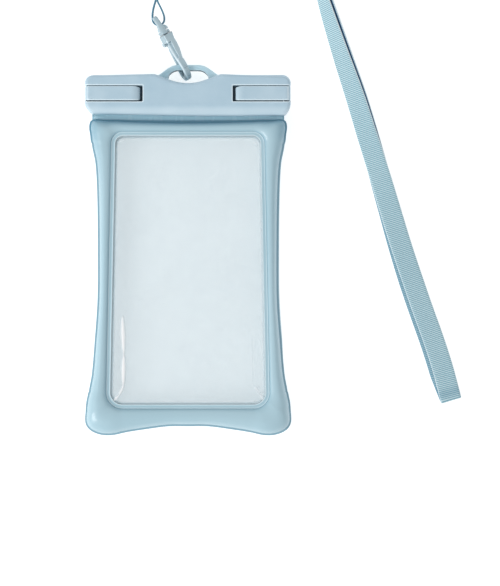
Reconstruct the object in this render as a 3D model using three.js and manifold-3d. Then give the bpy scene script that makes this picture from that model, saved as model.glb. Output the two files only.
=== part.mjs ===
// Waterproof phone pouch with a latched clamp bar, a swivel snap hook and a webbing lanyard.
// Millimetres, +Z up. The pouch lies on its back: X runs across it, Y from its foot to the clamp bar.
// The origin is below the middle of the pouch, on the surface that it lies on.
import * as THREE from 'three';
import { mergeVertices } from 'three/addons/utils/BufferGeometryUtils.js';
import Module from 'manifold-3d';

const wasm = await Module();
wasm.setup();

// General
const GAP = 0.3; // running clearance between neighbours
const SEAM_HEIGHT = 8.5; // where the front and back halves meet
const ROUND_STEPS = 20;
const BAR_HALF = 57.4; // half the clamp bar's length, which the pouch's width follows

// Clear windows
const WINDOW_INSET_TOP = 16.8;
const WINDOW_INSET_BOTTOM = 14;
const WINDOW_HALF_TOP = BAR_HALF - WINDOW_INSET_TOP;
const WINDOW_HALF_BOTTOM = BAR_HALF - WINDOW_INSET_BOTTOM;
const WINDOW_TOP = 64.1;
const WINDOW_BOTTOM = -86.1;
const WINDOW_TOP_RADIUS = 4.5;
const WINDOW_BOTTOM_RADIUS = 6.7;
const FILM = 0.4;
const FILM_OVERLAP = 3.0; // how far the film runs under the flange

// Air filled frame round the windows
const FLANGE_WIDTH = 3.3;
const FLANGE_THICKNESS = 0.6;
const FLANGE_HEIGHT = 5.3; // top of the flange over the seam
const SEAM_WIDTH = 1.0;
const SEAM_THICKNESS = 0.5;
const TUBE_BASE_HEIGHT = 6.0;
const TUBE_HEIGHT_PER_WIDTH = 0.16;
const TUBE_MAX_HEIGHT = 8.5;
const TUBE_CREST = 0.42; // the crest's place across the tube, as a share of its width
const TOP_WIDTH = 8.3;
const SHOULDER_WIDTH = 18.2;
const WAIST_WIDTH = 8.5;
const FOOT_CORNER_WIDTH = 21.5;
const FOOT_WIDTH = 12.5;

// Neck sleeve, the mouth of the pouch, which the clamp closes
const NECK_INSET_LOWER = 4.4;
const NECK_INSET_UPPER = 10.4;
const NECK_HALF_LOWER = BAR_HALF - NECK_INSET_LOWER;
const NECK_HALF_UPPER = BAR_HALF - NECK_INSET_UPPER;
const NECK_BOTTOM = 69.3;
const NECK_TOP = 91.5;
const NECK_THICKNESS = 1.2;
const NECK_SLOT = 0.4;

// Clamp bar
const BAR_TOP = 98.4;
const BAR_BOTTOM = 75.9;
const BAR_CORNER = 4.5;
const BAR_CHAMFER = 5.4; // height of the lower corners' rounding
const BAR_CHAMFER_WIDTH = 4.2;
const BAR_THICKNESS = 17;
const JAW_SPACE = 3.0; // between the jaws' inner faces
const FRONT_ROUND = 1.6;
const BACK_ROUND = 1.0;
const END_WALL = 4.1; // the front jaw's end blocks
const END_BLOCK_FLOOR = 3.0;
const DIP_HALF = 18.6;
const DIP_DEPTH = 5.1;
const DIP_FULLNESS = 1.33;
const LAND_WIDTH = 4.5;
const LAND_TOP = 93.5;

// Silicone seals in the jaws
const SEAL_WIDTH = 4;
const SEAL_CENTRE = 81.5;
const SEAL_GROOVE = 1.2;

// Jaw hinge
const HINGE_RADIUS = 2.2;
const HINGE_CLEARANCE = 0.3;
const HINGE_INSET = 35.4;
const HINGE_START = BAR_HALF - HINGE_INSET;
const KNUCKLE_LENGTH = 9;
const KNUCKLES = 3; // a side, the middle one on the front jaw
const HINGE_PIN_RADIUS = 0.8;

// Latches
const RECESS_LENGTH = 32.3;
const RECESS_BOTTOM = 82.9;
const RECESS_TOP = 91.9;
const RECESS_DEPTH = 3.6;
const LATCH_BOTTOM = 83.9;
const LATCH_TOP = 91.55;
const LATCH_ARM = 2.8;
const LATCH_LENGTH = 30.8;
const LATCH_ROOT_RADIUS = 1.8;
const LATCH_PIN_HEIGHT = 5.6;
const LATCH_PIN_RADIUS = 0.8;
const LATCH_PIN_BITE = 3.2; // how far a pin runs into each ear
const LATCH_NOSE = 4.6;
const LATCH_CORNER = 2.8;

// Eye on the back jaw
const EYE_HALF_TOP = 6.2;
const EYE_HALF_BASE = 20.5;
const EYE_SWEEP = 5.4;
const EYE_TOP = 104.65;
const EYE_BAR = 3.4;
const EYE_HEIGHT = 6; // of the bar's middle
const EYE_HOLE_HALF_TOP = 5.5;
const EYE_HOLE_FLOOR_HALF = 9;
const EYE_HOLE_HALF = 12.1;
const EYE_HOLE_SHOULDER = 95.6;
const EYE_HOLE_BOTTOM = 92.5;
const EYE_ROUND = 0.9;

// Snap hook, along its own +Y, turned into place below
const HOOK_X = -3;
const HOOK_LEAN = 28; // degrees to the left of +Y
const HOOK_RISE = 9; // degrees above the surface
const HOOK_SLOT = 4.9;
const HOOK_BAR = 3.0;
const HOOK_WIDTH = 3.8;
const HOOK_ROUND = 0.8;
const BEND_CENTRE = -1.8;
const NOSE_END = 2.4;
const COLLAR_START = 16.4;
const COLLAR_END = 21;
const TAPER_END = 6; // where the collar's right side runs out into the leg
const COLLAR_RADIUS = 3.4;
const POST_HEIGHT = 1.2; // of the swivel's axis over the hook's own
const POST_RADIUS = 1.2;
const POST_HEAD_RADIUS = 2.2;
const POST_HEAD = 2.3;
const GATE_THICKNESS = 1.8;
const GATE_WIDTH = 2.4;
const GATE_PIVOT_Y = 15.4;
const GATE_PIVOT_Z = -3.4;
const GATE_KNUCKLE = 1.1;
const GATE_PIN_RADIUS = 0.5;
const CHEEK_THICKNESS = 1.2;
const CHEEK_RADIUS = 1.9;

// Swivel ring
const RING_TURN = 2; // degrees about the post at rest
const RING_HALF = 9.1;
const RING_BAR = 2.6;
const RING_BASE = 2.0;
const RING_THICKNESS = 3.0;
const RING_ROUND = 0.9;
const RING_WINDOW = 6.7;
const RING_CORNER = 3;
const RING_BOSS = 3.2;

// Lanyard webbing, two layers, folded flat
const STRAP_WIDTH = 12;
const STRAP_LAYER = 1.0;
const STRAP_STACK = 2.2;
const LOOP_LEAN = 27; // degrees from the ring's axis towards +Y
const LOOP_INNER = 2.8; // radius inside the loop
const LOOP_DROP = 0.7;
const LOOP_ASIDE = 0.9;
const LOOP_STUB = 11;
const LOOP_CLOSED = 9.4; // from the ring's bar to where the two layers meet
const STRAP_FLOOR_GAP = 0.1;
// Middle of the webbing: x, y, degrees from flat, height over where it would rest
const LEAD_ROUTE = [
  [-17.6, 143.4, 90, 8.0],
  [-17.7, 148.0, 90, 8.0],
  [-17.3, 155.0, 90, 6.9],
  [-15.2, 167.0, 90, 4.6],
  [-9.4, 180.5, 90, 2.0],
  [4.6, 193.9, 90, 0.5],
];
const RUN_ROUTE = [
  [5.3, 194.3, 90, 0.4],
  [15.0, 199.4, 90, 0.1],
  [27.0, 202.0, 90, 0],
  [47.5, 197.5, 90, 0],
  [62.0, 185.0, 90, 0],
  [69.0, 168.5, 88, 0],
  [73.2, 153.5, 76, 0],
  [76.9, 140.3, 62, 0],
  [85.6, 112.5, 46, 0],
  [94.9, 84.3, 30, 0],
  [103.4, 56.0, 16, 0],
  [111.5, 28.3, 6, 0],
  [119.8, 0.3, 0, 0],
  [129.0, -27.7, 0, 0],
  [138.8, -55.7, 0, 0],
  [147.3, -83.7, 0, 0],
];
const RUN_STEPS = 64;
const LEAD_STEPS = 16;

// Heights that follow from the sizes above
const FRONT_FACE = BAR_THICKNESS;
const BACK_JAW_TOP = SEAM_HEIGHT - JAW_SPACE / 2;
const FRONT_JAW_BOTTOM = SEAM_HEIGHT + JAW_SPACE / 2;
const BACK_HALF = BAR_HALF - END_WALL - GAP;
const HINGE_Y = BAR_TOP - HINGE_RADIUS;
const RECESS_FLOOR = FRONT_FACE - RECESS_DEPTH;
const LATCH_PIN_X = BAR_HALF - 0.1 - LATCH_ROOT_RADIUS;
const EYE_BAR_Y = EYE_TOP - EYE_BAR / 2;

function part(name, geometry, material, parent) {
  const mesh = new THREE.Mesh(geometry, material);
  mesh.name = name;
  parent.add(mesh);
}

function solid(geometry) {
  const bare = geometry.clone();
  bare.deleteAttribute('normal');
  bare.deleteAttribute('uv');
  const merged = mergeVertices(bare, 1e-4);
  const vertProperties = new Float32Array(merged.attributes.position.array);
  const triVerts = new Uint32Array(merged.index.array);
  return new wasm.Manifold(new wasm.Mesh({ numProp: 3, vertProperties, triVerts }));
}

function geometryOf(manifold) {
  const mesh = manifold.getMesh();
  const geometry = new THREE.BufferGeometry();
  geometry.setAttribute('position', new THREE.BufferAttribute(mesh.vertProperties, 3));
  geometry.setIndex(new THREE.BufferAttribute(mesh.triVerts, 1));
  geometry.computeVertexNormals();
  return geometry;
}

function box(x0, x1, y0, y1, z0, z1) {
  const geometry = new THREE.BoxGeometry(x1 - x0, y1 - y0, z1 - z0);
  geometry.translate((x0 + x1) / 2, (y0 + y1) / 2, (z0 + z1) / 2);
  return solid(geometry);
}

function rod(length, radius) {
  return new THREE.CylinderGeometry(radius, radius, length, ROUND_STEPS);
}

function rodAlongX(x0, x1, y, z, radius) {
  const geometry = rod(x1 - x0, radius);
  geometry.rotateZ(Math.PI / 2);
  geometry.translate((x0 + x1) / 2, y, z);
  return geometry;
}

function rodAlongY(y0, y1, x, z, radius) {
  const geometry = rod(y1 - y0, radius);
  geometry.translate(x, (y0 + y1) / 2, z);
  return geometry;
}

// A plate of a shape in XY, from z0 to z1, its edges rounded inside the outline
function plate(shape, z0, z1, round = 0) {
  const geometry = new THREE.ExtrudeGeometry(shape, {
    depth: z1 - z0 - 2 * round,
    bevelEnabled: round > 0,
    bevelThickness: round,
    bevelSize: round,
    bevelOffset: -round,
    bevelSegments: 2,
    curveSegments: 6,
  });
  geometry.translate(0, 0, z0 + round);
  return geometry;
}

// A shape whose x is the part's Y and whose y is its Z, given a width along X
function sidePlate(shape, width, round = 0) {
  const geometry = plate(shape, -width / 2, width / 2, round);
  geometry.applyMatrix4(new THREE.Matrix4().set(0, 0, 1, 0, 1, 0, 0, 0, 0, 1, 0, 0, 0, 0, 0, 1));
  return geometry;
}

function rectangle(x0, x1, y0, y1, radius) {
  const shape = new THREE.Shape();
  shape.absarc(x1 - radius, y0 + radius, radius, -Math.PI / 2, 0);
  shape.absarc(x1 - radius, y1 - radius, radius, 0, Math.PI / 2);
  shape.absarc(x0 + radius, y1 - radius, radius, Math.PI / 2, Math.PI);
  shape.absarc(x0 + radius, y0 + radius, radius, Math.PI, Math.PI * 1.5);
  return shape;
}

// A skin over loops of points, joined end to end when closed and capped flat otherwise
function loft(loops, closed) {
  const count = loops[0].length;
  const positions = loops.flat().flatMap((p) => [p.x, p.y, p.z]);
  const index = [];
  const rows = closed ? loops.length : loops.length - 1;
  for (let i = 0; i < rows; i += 1) {
    const a = i * count;
    const b = ((i + 1) % loops.length) * count;
    for (let j = 0; j < count; j += 1) {
      const k = (j + 1) % count;
      index.push(a + j, a + k, b + k, a + j, b + k, b + j);
    }
  }
  if (!closed) {
    const last = (loops.length - 1) * count;
    for (let j = 1; j < count - 1; j += 1) {
      index.push(0, j + 1, j, last, last + j, last + j + 1);
    }
  }
  const geometry = new THREE.BufferGeometry();
  geometry.setAttribute('position', new THREE.Float32BufferAttribute(positions, 3));
  geometry.setIndex(index);
  if (volumeOf(geometry) < 0) {
    geometry.setIndex(index.reverse());
  }
  return geometry;
}

function volumeOf(geometry) {
  const position = geometry.attributes.position;
  const corners = Array.from(geometry.index.array, (i) => new THREE.Vector3().fromBufferAttribute(position, i));
  let volume = 0;
  for (let i = 0; i < corners.length; i += 3) {
    volume += corners[i].dot(corners[i + 1].clone().cross(corners[i + 2])) / 6;
  }
  return volume;
}

function mirroredX(geometry) {
  const other = geometry.clone();
  other.scale(-1, 1, 1);
  if (!other.index) {
    return turnedOut(mergeVertices(other));
  }
  return turnedOut(other);
}

function mirroredZ(geometry, height) {
  const other = geometry.clone();
  other.scale(1, 1, -1);
  other.translate(0, 0, 2 * height);
  return turnedOut(other);
}

function turnedOut(geometry) {
  geometry.setIndex(Array.from(geometry.index.array).reverse());
  geometry.computeVertexNormals();
  return geometry;
}

// Air filled frame

// The width of the frame round the window. Stretches: 0 top edge, 1 shoulder, 2 side, 3 foot corner, 4 foot.
const FRAME_WIDTHS = [
  [0, TOP_WIDTH],
  [1.0, TOP_WIDTH + 0.8],
  [1.17, TOP_WIDTH + 1.5],
  [1.33, TOP_WIDTH + 3.0],
  [1.45, SHOULDER_WIDTH - 4.7],
  [1.54, SHOULDER_WIDTH - 1.7],
  [1.61, SHOULDER_WIDTH],
  [1.7, SHOULDER_WIDTH - 0.8],
  [1.83, SHOULDER_WIDTH - 3.0],
  [2.0, WAIST_WIDTH + 5.0],
  [2.08, WAIST_WIDTH + 2.7],
  [2.22, WAIST_WIDTH + 1.3],
  [2.45, WAIST_WIDTH + 0.3],
  [2.63, WAIST_WIDTH],
  [2.8, WAIST_WIDTH + 1.2],
  [2.93, WAIST_WIDTH + 2.4],
  [3.0, WAIST_WIDTH + 3.9],
  [3.12, WAIST_WIDTH + 5.2],
  [3.31, FOOT_CORNER_WIDTH - 4.7],
  [3.45, FOOT_CORNER_WIDTH - 0.9],
  [3.54, FOOT_CORNER_WIDTH],
  [3.68, FOOT_CORNER_WIDTH - 1.0],
  [3.85, FOOT_CORNER_WIDTH - 3.3],
  [4.0, FOOT_WIDTH + 3.8],
  [4.33, FOOT_WIDTH + 1.8],
  [4.69, FOOT_WIDTH + 0.1],
  [5.0, FOOT_WIDTH],
];
const STRETCH_STEPS = [5, 15, 15, 13, 7];
const MOUTH_FULL = 1.78; // place on the shoulder down to which the halves stay apart
const MOUTH_END = 1.96;

// A smooth curve through knots of [place, value], level at both ends
function smoothThrough(knots, at) {
  const last = knots.length - 1;
  const i = Math.min(Math.max(knots.findIndex((k) => k[0] > at) - 1, 0), last - 1);
  const n = at >= knots[last][0] ? last - 1 : i;
  const slope = (k) => (k < 1 || k >= last ? 0
    : (knots[k + 1][1] - knots[k - 1][1]) / (knots[k + 1][0] - knots[k - 1][0]));
  const span = knots[n + 1][0] - knots[n][0];
  const t = (at - knots[n][0]) / span;
  return knots[n][1] * (2 * t ** 3 - 3 * t ** 2 + 1) + slope(n) * span * (t ** 3 - 2 * t ** 2 + t)
    + knots[n + 1][1] * (3 * t ** 2 - 2 * t ** 3) + slope(n + 1) * span * (t ** 3 - t ** 2);
}

// Points round the right half of the window's edge, from the middle of its top to the middle of its foot
function windowHalf() {
  const lean = Math.atan2(WINDOW_HALF_BOTTOM - WINDOW_HALF_TOP, WINDOW_TOP - WINDOW_BOTTOM);
  const shoulder = new THREE.Vector2(WINDOW_HALF_TOP - WINDOW_TOP_RADIUS, WINDOW_TOP - WINDOW_TOP_RADIUS);
  const foot = new THREE.Vector2(WINDOW_HALF_BOTTOM - WINDOW_BOTTOM_RADIUS, WINDOW_BOTTOM + WINDOW_BOTTOM_RADIUS);
  const turned = (angle) => new THREE.Vector2(Math.cos(angle), Math.sin(angle));
  const onArc = (centre, radius, normal) => centre.clone().addScaledVector(normal, radius);
  const up = new THREE.Vector2(0, 1);
  const out = turned(lean);
  const down = new THREE.Vector2(0, -1);
  const sideTop = onArc(shoulder, WINDOW_TOP_RADIUS, out);
  const sideFoot = onArc(foot, WINDOW_BOTTOM_RADIUS, out);
  const stretches = [
    (t) => [new THREE.Vector2(shoulder.x * t, WINDOW_TOP), up],
    (t) => {
      const normal = turned(Math.PI / 2 + (lean - Math.PI / 2) * t);
      return [onArc(shoulder, WINDOW_TOP_RADIUS, normal), normal];
    },
    (t) => [sideTop.clone().lerp(sideFoot, t), out],
    (t) => {
      const normal = turned(lean - (lean + Math.PI / 2) * t);
      return [onArc(foot, WINDOW_BOTTOM_RADIUS, normal), normal];
    },
    (t) => [new THREE.Vector2(foot.x * (1 - t), WINDOW_BOTTOM), down],
  ];
  const stations = [];
  stretches.forEach((stretch, number) => {
    const steps = STRETCH_STEPS[number];
    for (let k = 0; k < steps; k += 1) {
      const [point, normal] = stretch(k / steps);
      stations.push({ point, normal, at: number + k / steps });
    }
  });
  stations.push({ point: new THREE.Vector2(0, WINDOW_BOTTOM), normal: down, at: stretches.length });
  return stations;
}

function windowRound() {
  const right = windowHalf();
  const left = right.slice(1, -1).reverse().map(({ point, normal, at }) => ({
    point: new THREE.Vector2(-point.x, point.y),
    normal: new THREE.Vector2(-normal.x, normal.y),
    at,
  }));
  return [...right, ...left];
}

// Section of the frame at a station, outwards from the window's edge
function frameLoop({ point, normal, at }) {
  const width = smoothThrough(FRAME_WIDTHS, at);
  const tube = width - FLANGE_WIDTH - SEAM_WIDTH;
  const crest = Math.min(TUBE_BASE_HEIGHT + TUBE_HEIGHT_PER_WIDTH * tube, TUBE_MAX_HEIGHT);
  const apart = THREE.MathUtils.clamp((MOUTH_END - at) / (MOUTH_END - MOUTH_FULL), 0, 1);
  const base = apart * (NECK_THICKNESS / 2 + GAP);
  const rise = FLANGE_WIDTH + TUBE_CREST * tube;
  const seam = Math.max(SEAM_THICKNESS, base + SEAM_THICKNESS);
  const profile = [
    [0, FLANGE_HEIGHT - FLANGE_THICKNESS],
    [0, FLANGE_HEIGHT],
    [FLANGE_WIDTH, FLANGE_HEIGHT],
  ];
  for (let k = 1; k <= 3; k += 1) {
    const a = (k / 3) * (Math.PI / 2);
    const across = FLANGE_WIDTH + (rise - FLANGE_WIDTH) * (1 - Math.cos(a));
    profile.push([across, FLANGE_HEIGHT + (crest - FLANGE_HEIGHT) * Math.sin(a)]);
  }
  for (let k = 1; k <= 5; k += 1) {
    const a = (k / 5) * (Math.PI / 2);
    const across = rise + (width - SEAM_WIDTH - rise) * Math.sin(a);
    profile.push([across, seam + (crest - seam) * Math.cos(a)]);
  }
  profile.push([width, seam], [width, base], [FLANGE_WIDTH, base], [FLANGE_WIDTH, FLANGE_HEIGHT - FLANGE_THICKNESS]);
  return profile.map(([across, height]) => new THREE.Vector3(
    point.x + normal.x * across,
    point.y + normal.y * across,
    SEAM_HEIGHT + height,
  ));
}

function frontFrame() {
  const geometry = loft(windowRound().map(frameLoop), true);
  geometry.computeVertexNormals();
  return geometry;
}

function frontFilm() {
  const outline = windowRound().map(({ point, normal }) => point.clone().addScaledVector(normal, FILM_OVERLAP));
  const top = SEAM_HEIGHT + FLANGE_HEIGHT - FLANGE_THICKNESS;
  return mergeVertices(plate(new THREE.Shape(outline), top - FILM, top));
}

function neckSleeve() {
  const step = BAR_BOTTOM - GAP;
  const shape = new THREE.Shape();
  shape.moveTo(-NECK_HALF_LOWER, NECK_BOTTOM);
  shape.lineTo(NECK_HALF_LOWER, NECK_BOTTOM);
  shape.lineTo(NECK_HALF_LOWER, step);
  shape.lineTo(NECK_HALF_UPPER, step);
  shape.lineTo(NECK_HALF_UPPER, NECK_TOP);
  shape.lineTo(-NECK_HALF_UPPER, NECK_TOP);
  shape.lineTo(-NECK_HALF_UPPER, step);
  shape.lineTo(-NECK_HALF_LOWER, step);
  shape.closePath();
  const sleeve = solid(plate(shape, SEAM_HEIGHT - NECK_THICKNESS / 2, SEAM_HEIGHT + NECK_THICKNESS / 2));
  const half = NECK_HALF_UPPER - SEAM_WIDTH;
  const mouth = box(
    -half, half, NECK_BOTTOM - 1, NECK_TOP + 1, SEAM_HEIGHT - NECK_SLOT / 2, SEAM_HEIGHT + NECK_SLOT / 2,
  );
  return geometryOf(sleeve.subtract(mouth));
}

// Clamp bar

function barOutline(half, dipped) {
  const shape = new THREE.Shape();
  const pull = [BAR_CHAMFER_WIDTH * 0.2, BAR_CHAMFER * 0.3];
  shape.moveTo(-half + BAR_CHAMFER_WIDTH, BAR_BOTTOM);
  shape.lineTo(half - BAR_CHAMFER_WIDTH, BAR_BOTTOM);
  shape.quadraticCurveTo(half - pull[0], BAR_BOTTOM + pull[1], half, BAR_BOTTOM + BAR_CHAMFER);
  shape.absarc(half - BAR_CORNER, BAR_TOP - BAR_CORNER, BAR_CORNER, 0, Math.PI / 2);
  if (dipped) {
    const steps = 16;
    for (let k = 0; k <= steps; k += 1) {
      const x = DIP_HALF * (1 - (2 * k) / steps);
      shape.lineTo(x, BAR_TOP - DIP_DEPTH * (1 - (x / DIP_HALF) ** 2) ** DIP_FULLNESS);
    }
  }
  shape.absarc(-half + BAR_CORNER, BAR_TOP - BAR_CORNER, BAR_CORNER, Math.PI / 2, Math.PI);
  shape.lineTo(-half, BAR_BOTTOM + BAR_CHAMFER);
  shape.quadraticCurveTo(-half + pull[0], BAR_BOTTOM + pull[1], -half + BAR_CHAMFER_WIDTH, BAR_BOTTOM);
  shape.closePath();
  return shape;
}

function bothSides(make) {
  return [-1, 1].map((side) => make(side)).reduce((sum, one) => sum.add(one));
}

function sideBox(side, x0, x1, ...rest) {
  return side < 0 ? box(-x1, -x0, ...rest) : box(x0, x1, ...rest);
}

function sideRod(side, x0, x1, radius) {
  const [from, to] = side < 0 ? [-x1, -x0] : [x0, x1];
  return solid(rodAlongX(from, to, HINGE_Y, SEAM_HEIGHT, radius));
}

// Knuckles of one jaw, each with a web into its jaw
function knuckles(ofFront) {
  return bothSides((side) => {
    let sum = null;
    for (let k = 0; k < KNUCKLES; k += 1) {
      if ((k % 2 === 1) === ofFront) {
        const x0 = HINGE_START + k * (KNUCKLE_LENGTH + GAP);
        const x1 = x0 + KNUCKLE_LENGTH;
        const [z0, z1] = ofFront
          ? [SEAM_HEIGHT, FRONT_JAW_BOTTOM + HINGE_RADIUS]
          : [BACK_JAW_TOP - HINGE_RADIUS, SEAM_HEIGHT];
        const knuckle = sideRod(side, x0, x1, HINGE_RADIUS)
          .add(sideBox(side, x0, x1, HINGE_Y - HINGE_RADIUS, HINGE_Y, z0, z1));
        sum = sum ? sum.add(knuckle) : knuckle;
      }
    }
    return sum;
  });
}

const HINGE_END = HINGE_START + KNUCKLES * (KNUCKLE_LENGTH + GAP) - GAP;

function hinged(jaw, ofFront) {
  const channel = bothSides((side) => sideRod(
    side, HINGE_START - GAP, HINGE_END + GAP, HINGE_RADIUS + HINGE_CLEARANCE,
  ));
  const bore = bothSides((side) => sideRod(
    side, HINGE_START - GAP, HINGE_END + GAP, HINGE_PIN_RADIUS + GAP,
  ));
  return jaw.subtract(channel).add(knuckles(ofFront)).subtract(bore);
}

function land(side, z0, z1) {
  return sideBox(side, BACK_HALF - LAND_WIDTH, BACK_HALF, BAR_BOTTOM + BAR_CHAMFER, LAND_TOP, z0, z1);
}

function sealGroove(z0, z1) {
  const half = SEAL_WIDTH / 2 + GAP;
  return box(-NECK_HALF_UPPER - GAP, NECK_HALF_UPPER + GAP, SEAL_CENTRE - half, SEAL_CENTRE + half, z0, z1);
}

function frontJaw() {
  const outline = barOutline(BAR_HALF, true);
  const rounded = solid(plate(outline, FRONT_JAW_BOTTOM - FRONT_ROUND, FRONT_FACE, FRONT_ROUND));
  const whole = box(-BAR_HALF, BAR_HALF, BAR_BOTTOM, BAR_TOP, FRONT_JAW_BOTTOM, FRONT_FACE);
  const ends = solid(plate(outline, END_BLOCK_FLOOR, FRONT_JAW_BOTTOM + FRONT_ROUND)).intersect(bothSides(
    (side) => sideBox(side, BAR_HALF - END_WALL, BAR_HALF, BAR_BOTTOM, BAR_TOP, END_BLOCK_FLOOR, FRONT_FACE),
  ));
  let jaw = rounded.intersect(whole).add(ends);
  jaw = jaw.add(bothSides((side) => land(side, SEAM_HEIGHT + GAP / 2, FRONT_JAW_BOTTOM + GAP)));
  jaw = jaw.subtract(bothSides((side) => sideBox(
    side, BAR_HALF - RECESS_LENGTH, BAR_HALF + 1, RECESS_BOTTOM, RECESS_TOP, RECESS_FLOOR, FRONT_FACE + 1,
  )));
  jaw = jaw.subtract(bothSides((side) => sideBox(
    side, BAR_HALF - END_WALL, BAR_HALF + 1, RECESS_BOTTOM, RECESS_TOP, END_BLOCK_FLOOR - 1, FRONT_FACE,
  )));
  jaw = jaw.subtract(sealGroove(FRONT_JAW_BOTTOM - 1, FRONT_JAW_BOTTOM + SEAL_GROOVE));
  jaw = jaw.subtract(bothSides((side) => solid(rodAlongY(
    RECESS_BOTTOM - LATCH_PIN_BITE - GAP,
    RECESS_TOP + LATCH_PIN_BITE + GAP,
    side * LATCH_PIN_X,
    LATCH_PIN_HEIGHT,
    LATCH_PIN_RADIUS + GAP,
  ))));
  return geometryOf(hinged(jaw, true));
}

function eyeOutline() {
  const shape = new THREE.Shape();
  shape.moveTo(-EYE_HALF_BASE, BAR_TOP - BAR_CORNER);
  shape.lineTo(EYE_HALF_BASE, BAR_TOP - BAR_CORNER);
  shape.lineTo(EYE_HALF_BASE, BAR_TOP - BACK_ROUND);
  shape.bezierCurveTo(
    EYE_HALF_BASE - EYE_SWEEP, BAR_TOP, EYE_HALF_TOP + EYE_SWEEP, EYE_TOP, EYE_HALF_TOP, EYE_TOP,
  );
  shape.lineTo(-EYE_HALF_TOP, EYE_TOP);
  shape.bezierCurveTo(
    -EYE_HALF_TOP - EYE_SWEEP, EYE_TOP, -EYE_HALF_BASE + EYE_SWEEP, BAR_TOP, -EYE_HALF_BASE, BAR_TOP - BACK_ROUND,
  );
  shape.closePath();
  return shape;
}

function eyeHole() {
  const top = EYE_TOP - EYE_BAR;
  const corner = EYE_HOLE_HALF - EYE_HOLE_HALF_TOP;
  const shape = new THREE.Shape();
  shape.moveTo(-EYE_HOLE_FLOOR_HALF, EYE_HOLE_BOTTOM);
  shape.lineTo(EYE_HOLE_FLOOR_HALF, EYE_HOLE_BOTTOM);
  shape.quadraticCurveTo(EYE_HOLE_HALF, EYE_HOLE_BOTTOM, EYE_HOLE_HALF, EYE_HOLE_SHOULDER);
  shape.quadraticCurveTo(EYE_HOLE_HALF - corner / 4, top, EYE_HOLE_HALF_TOP, top);
  shape.lineTo(-EYE_HOLE_HALF_TOP, top);
  shape.quadraticCurveTo(-EYE_HOLE_HALF + corner / 4, top, -EYE_HOLE_HALF, EYE_HOLE_SHOULDER);
  shape.quadraticCurveTo(-EYE_HOLE_HALF, EYE_HOLE_BOTTOM, -EYE_HOLE_FLOOR_HALF, EYE_HOLE_BOTTOM);
  return shape;
}

function backJaw() {
  const body = solid(plate(barOutline(BACK_HALF, false), 0, BACK_JAW_TOP, BACK_ROUND));
  const eye = solid(plate(eyeOutline(), EYE_HEIGHT - EYE_BAR / 2, EYE_HEIGHT + EYE_BAR / 2, EYE_ROUND));
  let jaw = body.add(eye).subtract(solid(plate(eyeHole(), -1, BAR_THICKNESS)));
  jaw = jaw.add(bothSides((side) => land(side, BACK_JAW_TOP - BACK_ROUND, SEAM_HEIGHT - GAP / 2)));
  jaw = jaw.subtract(sealGroove(BACK_JAW_TOP - SEAL_GROOVE, BACK_JAW_TOP + 1));
  return geometryOf(hinged(jaw, false));
}

function sealStrip(z0, z1) {
  const shape = rectangle(
    -NECK_HALF_UPPER, NECK_HALF_UPPER, SEAL_CENTRE - SEAL_WIDTH / 2, SEAL_CENTRE + SEAL_WIDTH / 2, 1,
  );
  return plate(shape, z0, z1);
}

// A latch seen along the bar's end: its root round the pin, up the end of the bar and along the front face
function rightLatch() {
  const outside = LATCH_PIN_X + LATCH_ROOT_RADIUS;
  const inside = LATCH_PIN_X - LATCH_ROOT_RADIUS;
  const arm = FRONT_FACE - LATCH_ARM;
  const tip = BAR_HALF - LATCH_LENGTH;
  const shape = new THREE.Shape();
  shape.moveTo(inside, arm);
  shape.lineTo(inside, LATCH_PIN_HEIGHT);
  shape.absarc(LATCH_PIN_X, LATCH_PIN_HEIGHT, LATCH_ROOT_RADIUS, Math.PI, 2 * Math.PI);
  shape.absarc(outside - LATCH_CORNER, FRONT_FACE - LATCH_CORNER, LATCH_CORNER, 0, Math.PI / 2);
  shape.lineTo(tip + LATCH_NOSE, FRONT_FACE);
  shape.quadraticCurveTo(tip, FRONT_FACE, tip, arm + LATCH_ARM / 3);
  shape.lineTo(tip, arm);
  shape.closePath();
  const geometry = plate(shape, -LATCH_TOP, -LATCH_BOTTOM, 0.5);
  geometry.rotateX(Math.PI / 2);
  const bore = rodAlongY(LATCH_BOTTOM - 1, LATCH_TOP + 1, LATCH_PIN_X, LATCH_PIN_HEIGHT, LATCH_PIN_RADIUS + GAP);
  return geometryOf(solid(geometry).subtract(solid(bore)));
}

// Snap hook

function hookProfile() {
  const inner = HOOK_SLOT / 2;
  const outer = inner + HOOK_BAR;
  const shape = new THREE.Shape();
  shape.moveTo(COLLAR_START + 1, outer);
  shape.absarc(BEND_CENTRE, 0, outer, Math.PI / 2, Math.PI * 1.5);
  shape.lineTo(NOSE_END, -outer);
  shape.lineTo(NOSE_END, -inner);
  shape.absarc(BEND_CENTRE, 0, inner, Math.PI * 1.5, Math.PI / 2, true);
  shape.lineTo(COLLAR_START + 1, inner);
  shape.closePath();
  return shape;
}

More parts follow.
